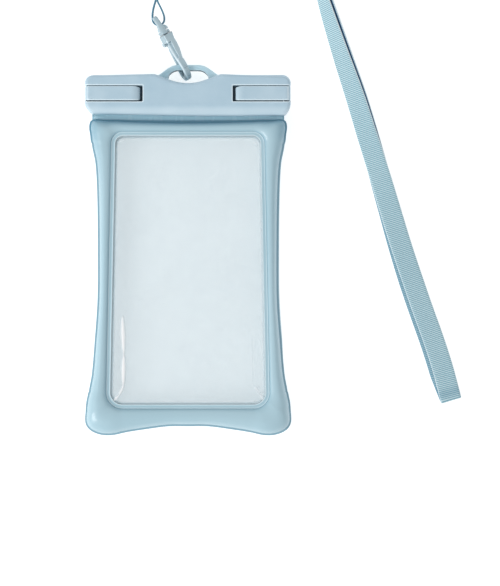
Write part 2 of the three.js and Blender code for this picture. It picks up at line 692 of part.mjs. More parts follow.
function hookBody() {
  let hook = solid(sidePlate(hookProfile(), HOOK_WIDTH, HOOK_ROUND));
  hook = hook.add(solid(rodAlongY(COLLAR_START, COLLAR_END, 0, POST_HEIGHT, COLLAR_RADIUS)));
  hook = hook.add(solid(rodAlongY(COLLAR_END - 1, POST_HEAD_START + 0.5, 0, POST_HEIGHT, POST_RADIUS)));
  const head = new THREE.LatheGeometry([
    new THREE.Vector2(0, 0),
    new THREE.Vector2(POST_HEAD_RADIUS, 0),
    new THREE.Vector2(POST_HEAD_RADIUS, POST_HEAD * 0.4),
    new THREE.Vector2(POST_HEAD_RADIUS * 0.7, POST_HEAD * 0.85),
    new THREE.Vector2(0, POST_HEAD),
  ], ROUND_STEPS);
  head.translate(0, POST_HEAD_START, POST_HEIGHT);
  hook = hook.add(solid(head));
  const shoulder = solid(rodAlongY(COLLAR_START, COLLAR_START + 1, 0, POST_HEIGHT, COLLAR_RADIUS))
    .intersect(box(0, COLLAR_RADIUS, COLLAR_START, COLLAR_START + 1, 0, COLLAR_RADIUS + POST_HEIGHT));
  const leg = box(0, HOOK_WIDTH / 2, TAPER_END, TAPER_END + 1, HOOK_SLOT / 2, HOOK_SLOT / 2 + HOOK_BAR - HOOK_ROUND);
  hook = hook.add(wasm.Manifold.hull([shoulder, leg]));
  const cheekFrom = GATE_WIDTH / 2 + GAP;
  hook = hook.add(bothSides((side) => {
    const middle = side * (cheekFrom + CHEEK_THICKNESS / 2);
    const [from, to] = [middle - CHEEK_THICKNESS / 2, middle + CHEEK_THICKNESS / 2];
    return solid(rodAlongX(from, to, GATE_PIVOT_Y, GATE_PIVOT_Z, CHEEK_RADIUS))
      .add(box(from, to, COLLAR_START, GATE_PIVOT_Y + CHEEK_RADIUS, GATE_PIVOT_Z, POST_HEIGHT));
  }));
  const pinEnd = cheekFrom + CHEEK_THICKNESS;
  hook = hook.subtract(solid(rodAlongX(-pinEnd - 1, pinEnd + 1, GATE_PIVOT_Y, GATE_PIVOT_Z, GATE_PIN_RADIUS + 0.15)));
  return geometryOf(hook);
}

function hookGate() {
  const top = GATE_PIVOT_Z + GATE_THICKNESS / 2;
  const bottom = GATE_PIVOT_Z - GATE_THICKNESS / 2;
  const tongue = box(-GATE_WIDTH / 2, GATE_WIDTH / 2, NOSE_END + GAP, GATE_PIVOT_Y, bottom, top);
  const knuckle = solid(rodAlongX(-GATE_WIDTH / 2, GATE_WIDTH / 2, GATE_PIVOT_Y, GATE_PIVOT_Z, GATE_KNUCKLE));
  const bore = solid(rodAlongX(-GATE_WIDTH, GATE_WIDTH, GATE_PIVOT_Y, GATE_PIVOT_Z, GATE_PIN_RADIUS + 0.15));
  return geometryOf(tongue.add(knuckle).subtract(bore));
}

const RING_START = COLLAR_END + GAP;
const POST_HEAD_START = RING_START + RING_BASE + GAP;
const RING_HOLE_START = RING_START + RING_BASE;
const RING_HOLE_END = RING_HOLE_START + RING_WINDOW;
const RING_END = RING_HOLE_END + RING_BAR;
const RING_BAR_Y = RING_HOLE_END + RING_BAR / 2;

function swivelRing() {
  const outline = rectangle(RING_START, RING_END, -RING_HALF, RING_HALF, RING_CORNER);
  const inside = RING_HALF - RING_BAR;
  outline.holes.push(rectangle(RING_HOLE_START, RING_HOLE_END, -inside, inside, 1));
  let ring = solid(sidePlate(outline, RING_THICKNESS, RING_ROUND));
  ring = ring.add(solid(rodAlongY(RING_START, RING_HOLE_START, 0, 0, RING_BOSS)));
  const bore = rodAlongY(RING_START - 1, RING_HOLE_START + 1, 0, 0, POST_RADIUS + GAP);
  return geometryOf(ring.subtract(solid(bore)));
}

// Webbing

// The loop round the ring's bar, seen along the bar, with the stub where its two layers come together
function strapLoop() {
  const inner = LOOP_INNER;
  const outer = inner + STRAP_LAYER;
  const half = STRAP_STACK / 2;
  const shape = new THREE.Shape();
  shape.moveTo(half, LOOP_STUB);
  shape.lineTo(-half, LOOP_STUB);
  shape.lineTo(-half, LOOP_CLOSED);
  shape.quadraticCurveTo(-half - outer / 3, LOOP_CLOSED / 2, LOOP_ASIDE - outer, 0);
  shape.absarc(LOOP_ASIDE, -LOOP_DROP, outer, Math.PI, 2 * Math.PI);
  shape.lineTo(LOOP_ASIDE + outer, 0);
  shape.quadraticCurveTo(half + outer, LOOP_CLOSED / 2, half, LOOP_CLOSED);
  shape.closePath();
  const hole = new THREE.Path();
  hole.moveTo(0, LOOP_CLOSED - 1);
  hole.quadraticCurveTo(-inner / 3, LOOP_CLOSED / 2, LOOP_ASIDE - inner, 0);
  hole.absarc(LOOP_ASIDE, -LOOP_DROP, inner, Math.PI, 2 * Math.PI);
  hole.lineTo(LOOP_ASIDE + inner, 0);
  hole.quadraticCurveTo(inner, LOOP_CLOSED / 2, 0, LOOP_CLOSED - 1);
  hole.closePath();
  shape.holes.push(hole);
  const geometry = plate(shape, -STRAP_WIDTH / 2, STRAP_WIDTH / 2);
  geometry.rotateZ(THREE.MathUtils.degToRad(-LOOP_LEAN));
  geometry.translate(0, RING_BAR_Y, 0);
  return mergeVertices(geometry);
}

// A flat band along a route of [x, y, degrees from flat, lift]
function strapBand(route, steps) {
  const tilts = route.map((stop) => THREE.MathUtils.degToRad(stop[2]));
  const stops = route.map(([x, y, , lift], i) => new THREE.Vector3(
    x,
    y,
    (STRAP_WIDTH / 2) * Math.sin(tilts[i]) + (STRAP_STACK / 2) * Math.cos(tilts[i]) + STRAP_FLOOR_GAP + lift,
  ));
  const curve = new THREE.CatmullRomCurve3(stops, false, 'centripetal');
  const up = new THREE.Vector3(0, 0, 1);
  const loops = [];
  for (let i = 0; i <= steps; i += 1) {
    const t = i / steps;
    const along = curve.getTangent(t);
    const place = t * (route.length - 1);
    const n = Math.min(Math.floor(place), route.length - 2);
    const tilt = THREE.MathUtils.lerp(tilts[n], tilts[n + 1], place - n);
    const level = up.clone().cross(along).normalize();
    const across = level.multiplyScalar(Math.cos(tilt)).addScaledVector(up, Math.sin(tilt));
    const thick = across.clone().cross(along).normalize();
    const middle = curve.getPoint(t);
    loops.push([[1, 1], [-1, 1], [-1, -1], [1, -1]].map(([a, b]) => middle.clone()
      .addScaledVector(across, (a * STRAP_WIDTH) / 2)
      .addScaledVector(thick, (b * STRAP_STACK) / 2)));
  }
  return loft(loops, false);
}

// Materials

function plastic(colour, roughness, more = {}) {
  return new THREE.MeshStandardMaterial({ color: colour, roughness, metalness: 0, ...more });
}

const CLAMP_BLUE = plastic(0xb2cbdb, 0.42);
const LATCH_BLUE = plastic(0xb8d0de, 0.4);
const FRAME_BLUE = plastic(0xa5c8d5, 0.3);
const CLEAR_FILM = plastic(0xdbe6ea, 0.08, { transparent: true, opacity: 0.35 });
const NECK_FILM = plastic(0xb9d3de, 0.25);
const SILICONE = plastic(0xd8dfe2, 0.7);
const STEEL = new THREE.MeshStandardMaterial({ color: 0xb9bcc0, roughness: 0.35, metalness: 1 });
const HOOK_BLUE = plastic(0xaabec6, 0.45);
const WEBBING_BLUE = plastic(0xaac8d2, 0.85);

// Assembly

const group = new THREE.Group();

const frontRing = frontFrame();
part('front_ring', frontRing, FRAME_BLUE, group);
part('back_ring', mirroredZ(frontRing, SEAM_HEIGHT), FRAME_BLUE, group);
const frontWindow = frontFilm();
part('front_window', frontWindow, CLEAR_FILM, group);
part('back_window', mirroredZ(frontWindow, SEAM_HEIGHT), CLEAR_FILM, group);
part('neck_sleeve', neckSleeve(), NECK_FILM, group);

part('back_jaw', backJaw(), CLAMP_BLUE, group);
part('front_jaw', frontJaw(), CLAMP_BLUE, group);
const sealSpace = NECK_THICKNESS / 2 + GAP;
part('back_seal', sealStrip(BACK_JAW_TOP - SEAL_GROOVE, SEAM_HEIGHT - sealSpace), SILICONE, group);
part('front_seal', sealStrip(SEAM_HEIGHT + sealSpace, FRONT_JAW_BOTTOM + SEAL_GROOVE), SILICONE, group);
for (const [name, side] of [['left', -1], ['right', 1]]) {
  const from = side < 0 ? -HINGE_END : HINGE_START;
  const to = side < 0 ? -HINGE_START : HINGE_END;
  part(`hinge_pin_${name}`, rodAlongX(from, to, HINGE_Y, SEAM_HEIGHT, HINGE_PIN_RADIUS), STEEL, group);
  const latch = rightLatch();
  part(`latch_${name}`, side < 0 ? mirroredX(latch) : latch, LATCH_BLUE, group);
  part(`latch_pin_${name}`, rodAlongY(
    RECESS_BOTTOM - LATCH_PIN_BITE,
    RECESS_TOP + LATCH_PIN_BITE,
    side * LATCH_PIN_X,
    LATCH_PIN_HEIGHT,
    LATCH_PIN_RADIUS,
  ), STEEL, group);
}

const hook = new THREE.Group();
hook.position.set(HOOK_X, EYE_BAR_Y, EYE_HEIGHT);
hook.rotation.set(THREE.MathUtils.degToRad(HOOK_RISE), 0, THREE.MathUtils.degToRad(HOOK_LEAN), 'ZXY');
group.add(hook);
part('hook_body', hookBody(), HOOK_BLUE, hook);
part('hook_gate', hookGate(), HOOK_BLUE, hook);
const gatePinHalf = GATE_WIDTH / 2 + GAP + CHEEK_THICKNESS;
part('gate_pin', rodAlongX(-gatePinHalf, gatePinHalf, GATE_PIVOT_Y, GATE_PIVOT_Z, GATE_PIN_RADIUS), STEEL, hook);

const swivel = new THREE.Group();
swivel.position.set(0, 0, POST_HEIGHT);
swivel.rotation.y = THREE.MathUtils.degToRad(-RING_TURN);
hook.add(swivel);
part('swivel_ring', swivelRing(), HOOK_BLUE, swivel);
part('strap_loop', strapLoop(), WEBBING_BLUE, swivel);

part('strap_lead', strapBand(LEAD_ROUTE, LEAD_STEPS), WEBBING_BLUE, group);
part('strap_run', strapBand(RUN_ROUTE, RUN_STEPS), WEBBING_BLUE, group);

export default group;
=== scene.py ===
import math

import bmesh
import bpy
import numpy as np
from mathutils import Matrix, Vector


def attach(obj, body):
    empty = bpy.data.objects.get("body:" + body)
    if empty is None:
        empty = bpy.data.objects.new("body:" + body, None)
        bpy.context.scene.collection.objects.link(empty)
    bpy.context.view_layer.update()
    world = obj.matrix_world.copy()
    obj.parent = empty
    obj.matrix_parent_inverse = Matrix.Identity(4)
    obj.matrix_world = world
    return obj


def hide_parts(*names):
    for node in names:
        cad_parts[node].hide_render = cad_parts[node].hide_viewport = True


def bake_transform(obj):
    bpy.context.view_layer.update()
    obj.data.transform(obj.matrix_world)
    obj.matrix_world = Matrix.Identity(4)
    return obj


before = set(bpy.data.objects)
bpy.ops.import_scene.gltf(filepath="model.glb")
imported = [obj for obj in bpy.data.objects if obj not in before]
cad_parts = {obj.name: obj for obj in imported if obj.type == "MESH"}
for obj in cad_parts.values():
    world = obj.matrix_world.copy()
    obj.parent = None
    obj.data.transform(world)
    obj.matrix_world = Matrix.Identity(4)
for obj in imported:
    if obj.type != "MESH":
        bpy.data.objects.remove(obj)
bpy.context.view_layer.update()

MM = 0.001
UP = Vector((0, 0, 1))

# Sizes of the object in millimetres, in the frame of the solid model
SEAM_HEIGHT = 8.5
WINDOW_HALF_TOP = 40.6
WINDOW_HALF_BOTTOM = 43.4
WINDOW_TOP = 64.1
WINDOW_BOTTOM = -86.1
WINDOW_TOP_RADIUS = 4.5
WINDOW_BOTTOM_RADIUS = 6.7
FLANGE_WIDTH = 2.4
FLANGE_THICKNESS = 0.6
FLANGE_HEIGHT = 5.3
SEAM_WIDTH = 1.0
SEAM_THICKNESS = 0.5
NECK_HALF_LOWER = 53.0
NECK_HALF_UPPER = 47.0
NECK_BOTTOM = 69.3
NECK_TOP = 91.5
WELD_TOP = 77.6
BAR_BOTTOM = 75.9
BAR_HALF = 57.4
BAR_FACE = 17.0
RECESS_LENGTH = 32.3
RECESS_BOTTOM = 82.9
RECESS_TOP = 91.9
LATCH_BOTTOM = 83.9
LATCH_TOP = 91.55
LATCH_LENGTH = 30.8
LATCH_LIP = 0.35
EYE_HOLE_HALF = 12.1
EYE_HOLE_REACH = (94, 102.6)
EYE_BAR_Y = 102.95
EYE_HEIGHT = 6.0
HOOK_X = -3.0
HOOK_LEAN = 28.0
HOOK_RISE = 9.0
POST_HEIGHT = 1.2
HOOK_ROLL = 14.0
RING_ROLL = 1.5
RING_TILT = 7.0
POST_HEAD_START = 23.6
COLLAR_RADIUS = 3.4
COLLAR_START = 16.4
TAPER_END = 6.0
HOOK_WIDTH = 3.8
LEG_SHOULDER = 4.65
LEG_FACE = 5.42
COLLAR_FOOT = 14.8
CHEEK_END = 16.4
SWIVEL_GAP = 21.2
HEAD_GROWTH = 0.42
GATE_NARROWING = 0.22
RING_BASE = 22.0
RING_TURN = 2.0
RING_BAR_Y = 31.3
STRAP_WIDTH = 12.0
STRAP_LAYER = 1.0
LAYER_OFFSET = 0.52
WEBBING_HALF = 1.1
WEBBING_CLEARANCE = 0.1
RIB_PITCH = 1.05
RIB_HEIGHT = 0.15
YARN_PITCH = 0.42
TWIST_PITCH = 0.35
STITCH_INSET = 1.6
STITCH_PITCH = 2.4
STITCH_LENGTH = 2.0
STITCH_START = 8.0
STITCH_BOX = 12.0
THREAD_RADIUS = 0.22
LOOP_LEAN = 27.0
LOOP_DROP = 0.7
LOOP_ASIDE = 0.9
LOOP_RADIUS = 3.3
LOOP_CLOSED = 9.4
LOOP_REACH = 11.0
LOOP_STEPS = 16
FOLD_STEPS = 12

# Middle of the webbing: x, y, degrees from flat, height over where it would rest
LEAD_ROUTE = (
    (-17.6, 143.4, 90, 8.0),
    (-17.7, 148.0, 90, 8.0),
    (-17.3, 155.0, 90, 6.9),
    (-15.2, 167.0, 90, 4.6),
    (-9.4, 180.5, 90, 2.0),
    (4.6, 193.9, 90, 0.5),
)
RUN_ROUTE = (
    (5.3, 194.3, 90, 0.4),
    (15.0, 199.4, 90, 0.1),
    (27.0, 202.0, 90, 0),
    (47.5, 197.5, 90, 0),
    (62.0, 185.0, 90, 0),
    (69.0, 168.5, 88, 0),
    (73.2, 153.5, 76, 0),
    (76.9, 140.3, 62, 0),
    (85.6, 112.5, 46, 0),
    (94.9, 84.3, 30, 0),
    (103.4, 56.0, 16, 0),
    (111.5, 28.3, 6, 0),
    (119.8, 0.3, 0, 0),
    (129.0, -27.7, 0, 0),
    (138.8, -55.7, 0, 0),
    (147.3, -83.7, 0, 0),
)


# Nodes, for materials and for geometry alike


class Wire:
    """A socket that takes part in sums; each sum adds its Math node."""

    def __init__(self, bench, socket):
        self.bench = bench
        self.socket = socket

    def __add__(self, other):
        return self.bench.sum("ADD", self, other)

    __radd__ = __add__

    def __sub__(self, other):
        return self.bench.sum("SUBTRACT", self, other)

    def __rsub__(self, other):
        return self.bench.sum("SUBTRACT", other, self)

    def __mul__(self, other):
        return self.bench.sum("MULTIPLY", self, other)

    __rmul__ = __mul__

    def __truediv__(self, other):
        return self.bench.sum("DIVIDE", self, other)

    def limited(self):
        return self.bench.node("ShaderNodeClamp", {}, {0: self})

    def smooth(self, low, high):
        """0 below low, 1 above high and soft between them."""
        settings = {"interpolation_type": "SMOOTHSTEP"}
        return self.bench.node("ShaderNodeMapRange", settings, {0: self, 1: low, 2: high})


class Bench:
    """Adds nodes to one tree."""

    def __init__(self, tree):
        self.tree = tree

    def node(self, kind, settings=None, sockets=None, out=0):
        """A node of a type with its settings, then its sockets' values or links; gives one output."""
        node = self.tree.nodes.new(kind)
        for name, value in (settings or {}).items():
            setattr(node, name, value)
        for name, value in (sockets or {}).items():
            self.join(value, node.inputs[name])
        return Wire(self, node.outputs[out]) if node.outputs else node

    def join(self, value, socket):
        if isinstance(value, Wire):
            self.tree.links.new(value.socket, socket)
        elif value is not None:
            socket.default_value = value

    def sum(self, operation, *values):
        return self.node("ShaderNodeMath", {"operation": operation}, dict(enumerate(values)))

    def mixed(self, share, one, other):
        """Colour one, turning to the other as share goes from 0 to 1."""
        return self.node("ShaderNodeMix", {"data_type": "RGBA"}, {0: share, 6: one, 7: other}, out=2)

    def coats(self, base, *coats):
        """A base colour under coats of (share, colour), all given as screen codes."""
        colour = tint(base)
        for share, code in coats:
            colour = self.mixed(share, colour, tint(code))
        return colour

    def attribute(self, name):
        return self.node("ShaderNodeAttribute", {"attribute_name": name}, out=2)

    def place(self):
        return self.node("ShaderNodeTexCoord", out=3)

    def vectors(self, operation, sockets):
        return self.node("ShaderNodeVectorMath", {"operation": operation}, sockets)

    def stretched(self, vector, scale):
        return self.node("ShaderNodeMapping", {}, {0: vector, 3: scale})

    def noise(self, vector, scale, detail=2.0):
        return self.node("ShaderNodeTexNoise", {}, {"Vector": vector, "Scale": scale, "Detail": detail})

    def bump(self, height, strength, distance, under=None):
        sockets = {"Height": height, "Strength": strength, "Distance": distance, "Normal": under}
        return self.node("ShaderNodeBump", {}, sockets)


def tint(code):
    """A linear colour from its six-digit screen code."""
    parts = [int(code[i : i + 2], 16) / 255 for i in (0, 2, 4)]
    linear = [p / 12.92 if p <= 0.04045 else ((p + 0.055) / 1.055) ** 2.4 for p in parts]
    return (*linear, 1.0)


def finish(name, make, **constants):
    """A material: make(bench) returns what varies, and the constants go on the shader itself."""
    material = bpy.data.materials.new(name)
    material.use_nodes = True
    bench = Bench(material.node_tree)
    shader = material.node_tree.nodes["Principled BSDF"]
    for socket, value in constants.items():
        shader.inputs[socket.replace("_", " ")].default_value = value
    for socket, value in make(bench).items():
        bench.join(value, shader.inputs[socket])
    return material


RIM_LIGHT = "E6F5FB"
GAP_SHADE = "16394B"


def moulded(base, pale_wear_and_highlight, painted_shade, roughness, grain):
    """Satin moulded plastic: soft mottling, a fine grain, edges paler with wear and a painted highlight,
    painted shade in its creases and corners, and the painted highlights and shade marked on each piece.
    """

    def make(bench):
        place = bench.place()
        mottle = bench.noise(place, 55.0, 3.0).smooth(0.35, 0.7)
        speck = bench.noise(place, 1500.0, 1.0).smooth(0.55, 0.8)
        edge = bench.attribute("edge").smooth(0.05, 0.5)
        crease = bench.attribute("crease").smooth(0.05, 0.6)
        rub = edge * (bench.noise(place, 260.0, 3.0) * 0.6 + 0.6)
        colour = bench.coats(
            base,
            (mottle * 0.22, pale_wear_and_highlight),
            (speck * 0.1, pale_wear_and_highlight),
            # painted shade in creases and corners
            (crease * 0.75, painted_shade),
            # paler convex edges: wear, and a painted highlight
            ((rub * 0.8).limited(), pale_wear_and_highlight),
            # painted highlights and painted shade marked on each piece
            (bench.attribute("painted_highlight").limited(), RIM_LIGHT),
            (bench.attribute("painted_shade").limited(), GAP_SHADE),
        )
        gloss = roughness + mottle * 0.05 - edge * 0.1 + speck * 0.06
        fine = bench.bump(bench.noise(place, 4200.0, 2.0), grain, 0.00004)
        ripple = bench.bump(bench.noise(place, 120.0, 2.0), 0.12, 0.0004, fine)
        return {"Base Color": colour, "Roughness": gloss.limited(), "Normal": ripple}

    return make


def blown_film(base, pale, painted_shade):
    """Smooth air filled film: a slow drift of tone, painted shade in its welded creases, a painted highlight
    on its crown and on its weld ridges, and painted shade on its seam strip.
    """

    def make(bench):
        place = bench.place()
        drift = bench.noise(place, 14.0, 2.0).smooth(0.3, 0.7)
        crown = bench.attribute("crown").smooth(0.35, 1.0)
        foot = bench.attribute("foot").smooth(0.0, 1.0)
        ridge = bench.attribute("ridge").limited()
        seam = bench.attribute("seam_shade").limited()
        colour = bench.coats(
            base,
            (drift * 0.2, pale),
            # painted highlight on the tube's crown
            (crown * 0.16, pale),
            # painted shade at the tube's foot
            ((foot * 0.2).limited(), painted_shade),
            # painted highlights on the weld ridges
            (ridge * 0.85, "E4F3F8"),
            (seam, "5892AB"),
        )
        gloss = 0.3 + drift * 0.06 + bench.noise(place, 900.0, 2.0) * 0.05
        fine = bench.bump(bench.noise(place, 2600.0, 2.0), 0.05, 0.00003)
        soft = bench.bump(bench.noise(place, 42.0, 2.0), 0.1, 0.0012, fine)
        return {"Base Color": colour, "Roughness": gloss, "Normal": soft}

    return make


def clear_film(bench):
    """Clear glossy film: faint haze, rub marks and painted white glints that make its folds paler."""
    place = bench.place()
    haze = bench.noise(place, 30.0, 3.0).smooth(0.35, 0.75)
    rub = bench.noise(bench.stretched(place, (1.0, 0.12, 1.0)), 700.0, 2.0).smooth(0.62, 0.8)
    fold = bench.attribute("fold").smooth(0.0, 1.0)
    border = bench.attribute("border").smooth(0.0, 1.0)
    # the folds get painted white glints, in colour and in alpha
    colour = bench.coats("D3E2E8", (haze * 0.3, "E8F1F4"), (fold, "FFFFFF"))
    alpha = 0.2 + haze * 0.04 + rub * 0.04 + fold * 0.62 + border * 0.25
    wave = bench.bump(bench.noise(place, 26.0, 2.0), 0.25, 0.002)
    gloss = 0.05 + rub * 0.12 + haze * 0.03
    return {"Base Color": colour, "Alpha": alpha.limited(), "Roughness": gloss, "Normal": wave}


def neck_film(bench):
    """Thin film of the mouth: creases that run down it from the clamp."""
    place = bench.place()
    creases = bench.noise(bench.stretched(place, (1.0, 0.18, 0.18)), 240.0, 3.0)
    fold = creases.smooth(0.5, 0.78)
    drift = bench.noise(place, 30.0, 2.0)
    colour = bench.coats(
        "B2DAE8",
        (drift * 0.3, "C6E7F1"),
        (fold * 0.35, "C8DFE8"),
        # painted shade in the crease where the neck meets the frame
        (bench.attribute("foot").smooth(0.0, 1.0) * 0.8, "5A92AB"),
        (bench.attribute("weld").limited() * 0.7, "4F8BA3"),
    )
    return {
        "Base Color": colour,
        "Roughness": 0.26 + fold * 0.1,
        "Normal": bench.bump(creases, 0.35, 0.0006),
    }


def silicone(bench):
    place = bench.place()
    dust = bench.noise(place, 900.0, 3.0).smooth(0.45, 0.8)
    tone = bench.noise(place, 60.0, 2.0)
    colour = bench.coats("D2DADE", (tone * 0.4, "E2E7E9"), (dust * 0.25, "F2F4F5"))
    bump = bench.bump(bench.noise(place, 3000.0, 2.0), 0.2, 0.00005)
    return {"Base Color": colour, "Roughness": 0.66 + dust * 0.12, "Normal": bump}


def drawn_wire(axis):
    """Bright steel wire with fine lines along one axis."""

    def make(bench):
        place = bench.place()
        scale = tuple(0.03 if i == axis else 1.0 for i in range(3))
        lines = bench.noise(bench.stretched(place, scale), 5200.0, 2.0)
        stain = bench.noise(place, 260.0, 3.0).smooth(0.5, 0.8)
        colour = bench.coats("BFC3C6", (lines * 0.5, "DADDDF"), (stain * 0.3, "8F959A"))
        gloss = 0.24 + lines * 0.14 + stain * 0.12
        return {"Base Color": colour, "Roughness": gloss, "Normal": bench.bump(lines, 0.15, 0.00003)}

    return make


def woven(bench):
    """Ribbed woven band: yarns along it, ribs across it, painted shade between the ribs, and painted shade
    and highlights on its edges and between its layers.
    """
    across = bench.attribute("across")
    along = bench.attribute("along")
    rib = bench.attribute("rib")
    place = bench.place()
    yarn = bench.sum("SINE", across * (2 * math.pi / YARN_PITCH) + along * 0.6)
    twist = bench.sum("SINE", along * (2 * math.pi / TWIST_PITCH) + across * 9.0)
    fuzz = bench.noise(place, 5200.0, 2.0)
    drift = bench.noise(place, 40.0, 2.0).smooth(0.3, 0.7)
    colour = bench.coats(
        "CDE4EA",
        (drift * 0.35, "DAEDF1"),
        # painted shade between the ribs
        (((1.0 - rib) * 1.3).limited(), "5A97AA"),
        (fuzz.smooth(0.55, 0.8) * 0.25, "E4EFF2"),
        # painted shade on the edges, painted highlights on edges that face up, painted shade on the under
        # layer and in the gap between layers
        (bench.attribute("painted_edge_shade").limited() * 0.85, "2F6F8D"),
        (bench.attribute("painted_edge_highlight").limited() * 0.6, "F0F7FA"),
        (bench.attribute("shade").limited(), "4C86A0"),
        (bench.attribute("layer_gap_shade").limited() * 0.95, "00527F"),
    )
    height = yarn * 0.3 + twist * 0.18 + fuzz * 0.5
    return {
        "Base Color": colour,
        "Roughness": 0.74 + fuzz * 0.12,
        "Normal": bench.bump(height, 0.55, 0.00012),
    }


def sewing_thread(bench):
    place = bench.place()
    ply = bench.sum("SINE", bench.noise(place, 2500.0, 1.0) * 40.0)
    colour = bench.coats("9DBFCB", (ply * 0.25 + 0.3, "C4DAE2"))
    return {"Base Color": colour, "Roughness": 0.6 + ply * 0.05, "Normal": bench.bump(ply, 0.3, 0.00005)}


CLAMP_PLASTIC = finish("clamp plastic", moulded("B0CAD9", "D3E6F0", "6E9BB0", 0.4, 0.16), IOR=1.5)
# The back jaw's copy of the clamp plastic, lighter and more cyan: its lightness is painted fill light, as
# the jaw sits in the bar's shadow.
LIGHTENED_CLAMP_PLASTIC = finish("clamp plastic lightened for shade", moulded("BCDEEA", "DDF0F6", "6E9BB0", 0.4, 0.16), IOR=1.5)
LATCH_PLASTIC = finish("latch plastic", moulded("B2CBD9", "D9EAF2", "6E9BB0", 0.38, 0.14), IOR=1.5)
HOOK_PLASTIC = finish("hook plastic", moulded("A9BFC8", "D2E0E6", "5F8496", 0.36, 0.16), IOR=1.5)
AIR_FILM = finish("air filled film", blown_film("A6C6D2", "BFD7E0", "7BA9BD"), IOR=1.48, Coat_Weight=0.15)
CLEAR_FILM = finish("clear film", clear_film, IOR=1.46)
NECK_FILM = finish("neck film", neck_film, IOR=1.48)
SILICONE = finish("seal silicone", silicone, IOR=1.42)
HINGE_WIRE = finish("hinge wire", drawn_wire(0), Metallic=1.0)
LATCH_WIRE = finish("latch wire", drawn_wire(1), Metallic=1.0)
WEBBING = finish("webbing", woven, Sheen_Weight=0.25, Sheen_Roughness=0.4)
THREAD = finish("sewing thread", sewing_thread, Sheen_Weight=0.2)


# Shape helpers


def piece(name, points, faces, material=None):
    """A piece from points in millimetres."""
    mesh = bpy.data.meshes.new(name)
    mesh.from_pydata([Vector(p) * MM for p in points], [], faces)
    mesh.update()
    made = bpy.data.objects.new(name, mesh)
    bpy.context.scene.collection.objects.link(made)
    if material:
        mesh.materials.append(material)
    return made


def face_out(thing):
    """Merges doubles and turns all faces outwards."""
    work = bmesh.new()
    work.from_mesh(thing.data)
    bmesh.ops.remove_doubles(work, verts=work.verts, dist=1e-6)
    bmesh.ops.recalc_face_normals(work, faces=work.faces)
    work.to_mesh(thing.data)
    work.free()
    thing.data.update()


def smooth_shaded(thing, angle=40.0):
    thing.data.shade_smooth()
    thing.data.set_sharp_from_angle(angle=math.radians(angle))


def paint(thing, name, values):
    """Stores one number for each vertex."""
    mesh = thing.data
    attribute = mesh.attributes.get(name) or mesh.attributes.new(name, "FLOAT", "POINT")
    attribute.data.foreach_set("value", np.asarray(values, np.float32))


def values_of(items, field, width=1, kind=np.float32):
    """One property of all vertices, edges or attribute values, a row for each."""
    flat = np.zeros(len(items) * width, kind)
    items.foreach_get(field, flat)
    return flat.reshape(-1, width) if width > 1 else flat


def painted(thing, name):
    return values_of(thing.data.attributes[name].data, "value")


def points_of(mesh):
    return values_of(mesh.vertices, "co", 3).astype(float)


def unit(value):
    """A number kept between 0 and 1."""
    return min(max(value, 0.0), 1.0)


def units(values):
    """An array of numbers, each kept between 0 and 1."""
    return np.clip(values, 0, 1)


def hump(distance, width, power=2):
    """1 at no distance, fading to 0 on both sides."""
    return np.exp(-((distance / width) ** power))


def running_lengths(line):
    """Length up to each point of a line of (point, direction across)."""
    lengths = [0.0]
    for (a, _), (b, _) in zip(line, line[1:]):
        lengths.append(lengths[-1] + (b - a).length)
    return lengths


def skin(rings, count, closed=False):
    """Faces between closed rings of points, with both ends covered unless the last ring meets the first."""
    faces = []
    for i in range(rings if closed else rings - 1):
        n = (i + 1) % rings
        for j in range(count):
            k = (j + 1) % count
            faces.append((i * count + j, i * count + k, n * count + k, n * count + j))
    if not closed:
        faces.append(tuple(range(count)))
        faces.append(tuple(range((rings - 1) * count, rings * count)))
    return faces


def finished(thing):
    """The plain mesh that the modifiers give, with the modifiers removed."""
    bpy.context.view_layer.update()
    graph = bpy.context.evaluated_depsgraph_get()
    mesh = bpy.data.meshes.new_from_object(thing.evaluated_get(graph), depsgraph=graph)
    thing.modifiers.clear()
    mesh.name = thing.name
    thing.data = mesh
    return thing


def note_edges(thing, reach):
    """Stores how far each vertex stands out of its neighbours (edge) or sinks between them (crease)."""
    mesh = thing.data
    points = points_of(mesh)
    normals = values_of(mesh.vertices, "normal", 3).astype(float)
    ends = values_of(mesh.edges, "vertices", 2, np.int32)
    bend = np.zeros(len(points))
    count = np.zeros(len(points))
    for a, b in ((ends[:, 0], ends[:, 1]), (ends[:, 1], ends[:, 0])):
        line = points[a] - points[b]
        length = np.maximum(np.linalg.norm(line, axis=1), 1e-9)
        np.add.at(bend, a, (normals[a] * line).sum(1) / length)
        np.add.at(count, a, 1)
    bend /= np.maximum(count, 1)
    for _ in range(reach):
        spread = np.zeros(len(points))
        np.add.at(spread, ends[:, 0], bend[ends[:, 1]])
        np.add.at(spread, ends[:, 1], bend[ends[:, 0]])
        bend = 0.4 * bend + 0.6 * spread / np.maximum(count, 1)
    paint(thing, "edge", units(bend * 4))
    paint(thing, "crease", units(-bend * 4))


def recast(node, name, voxel, soften, material, shape=None):
    """A finely meshed copy of a solid with its edges rounded, in the solid's place."""
    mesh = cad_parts[node].data.copy()
    mesh.materials.clear()
    made = bpy.data.objects.new(name, mesh)
    bpy.context.scene.collection.objects.link(made)
    face_out(made)
    remesh = made.modifiers.new("fine", "REMESH")
    remesh.mode = "VOXEL"
    remesh.voxel_size = voxel * MM
    remesh.use_smooth_shade = True
    ease = made.modifiers.new("soft edges", "SMOOTH")
    ease.factor = 0.5
    ease.iterations = soften
    finished(made)
    if shape:
        points = points_of(made.data) / MM
        made.data.vertices.foreach_set("co", (shape(points) * MM).astype(np.float32).ravel())
        made.data.update()
    made.data.materials.clear()
    made.data.materials.append(material)
    made.data.shade_smooth()
    note_edges(made, 2)
    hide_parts(node)
    return made


# Light, floor and camera


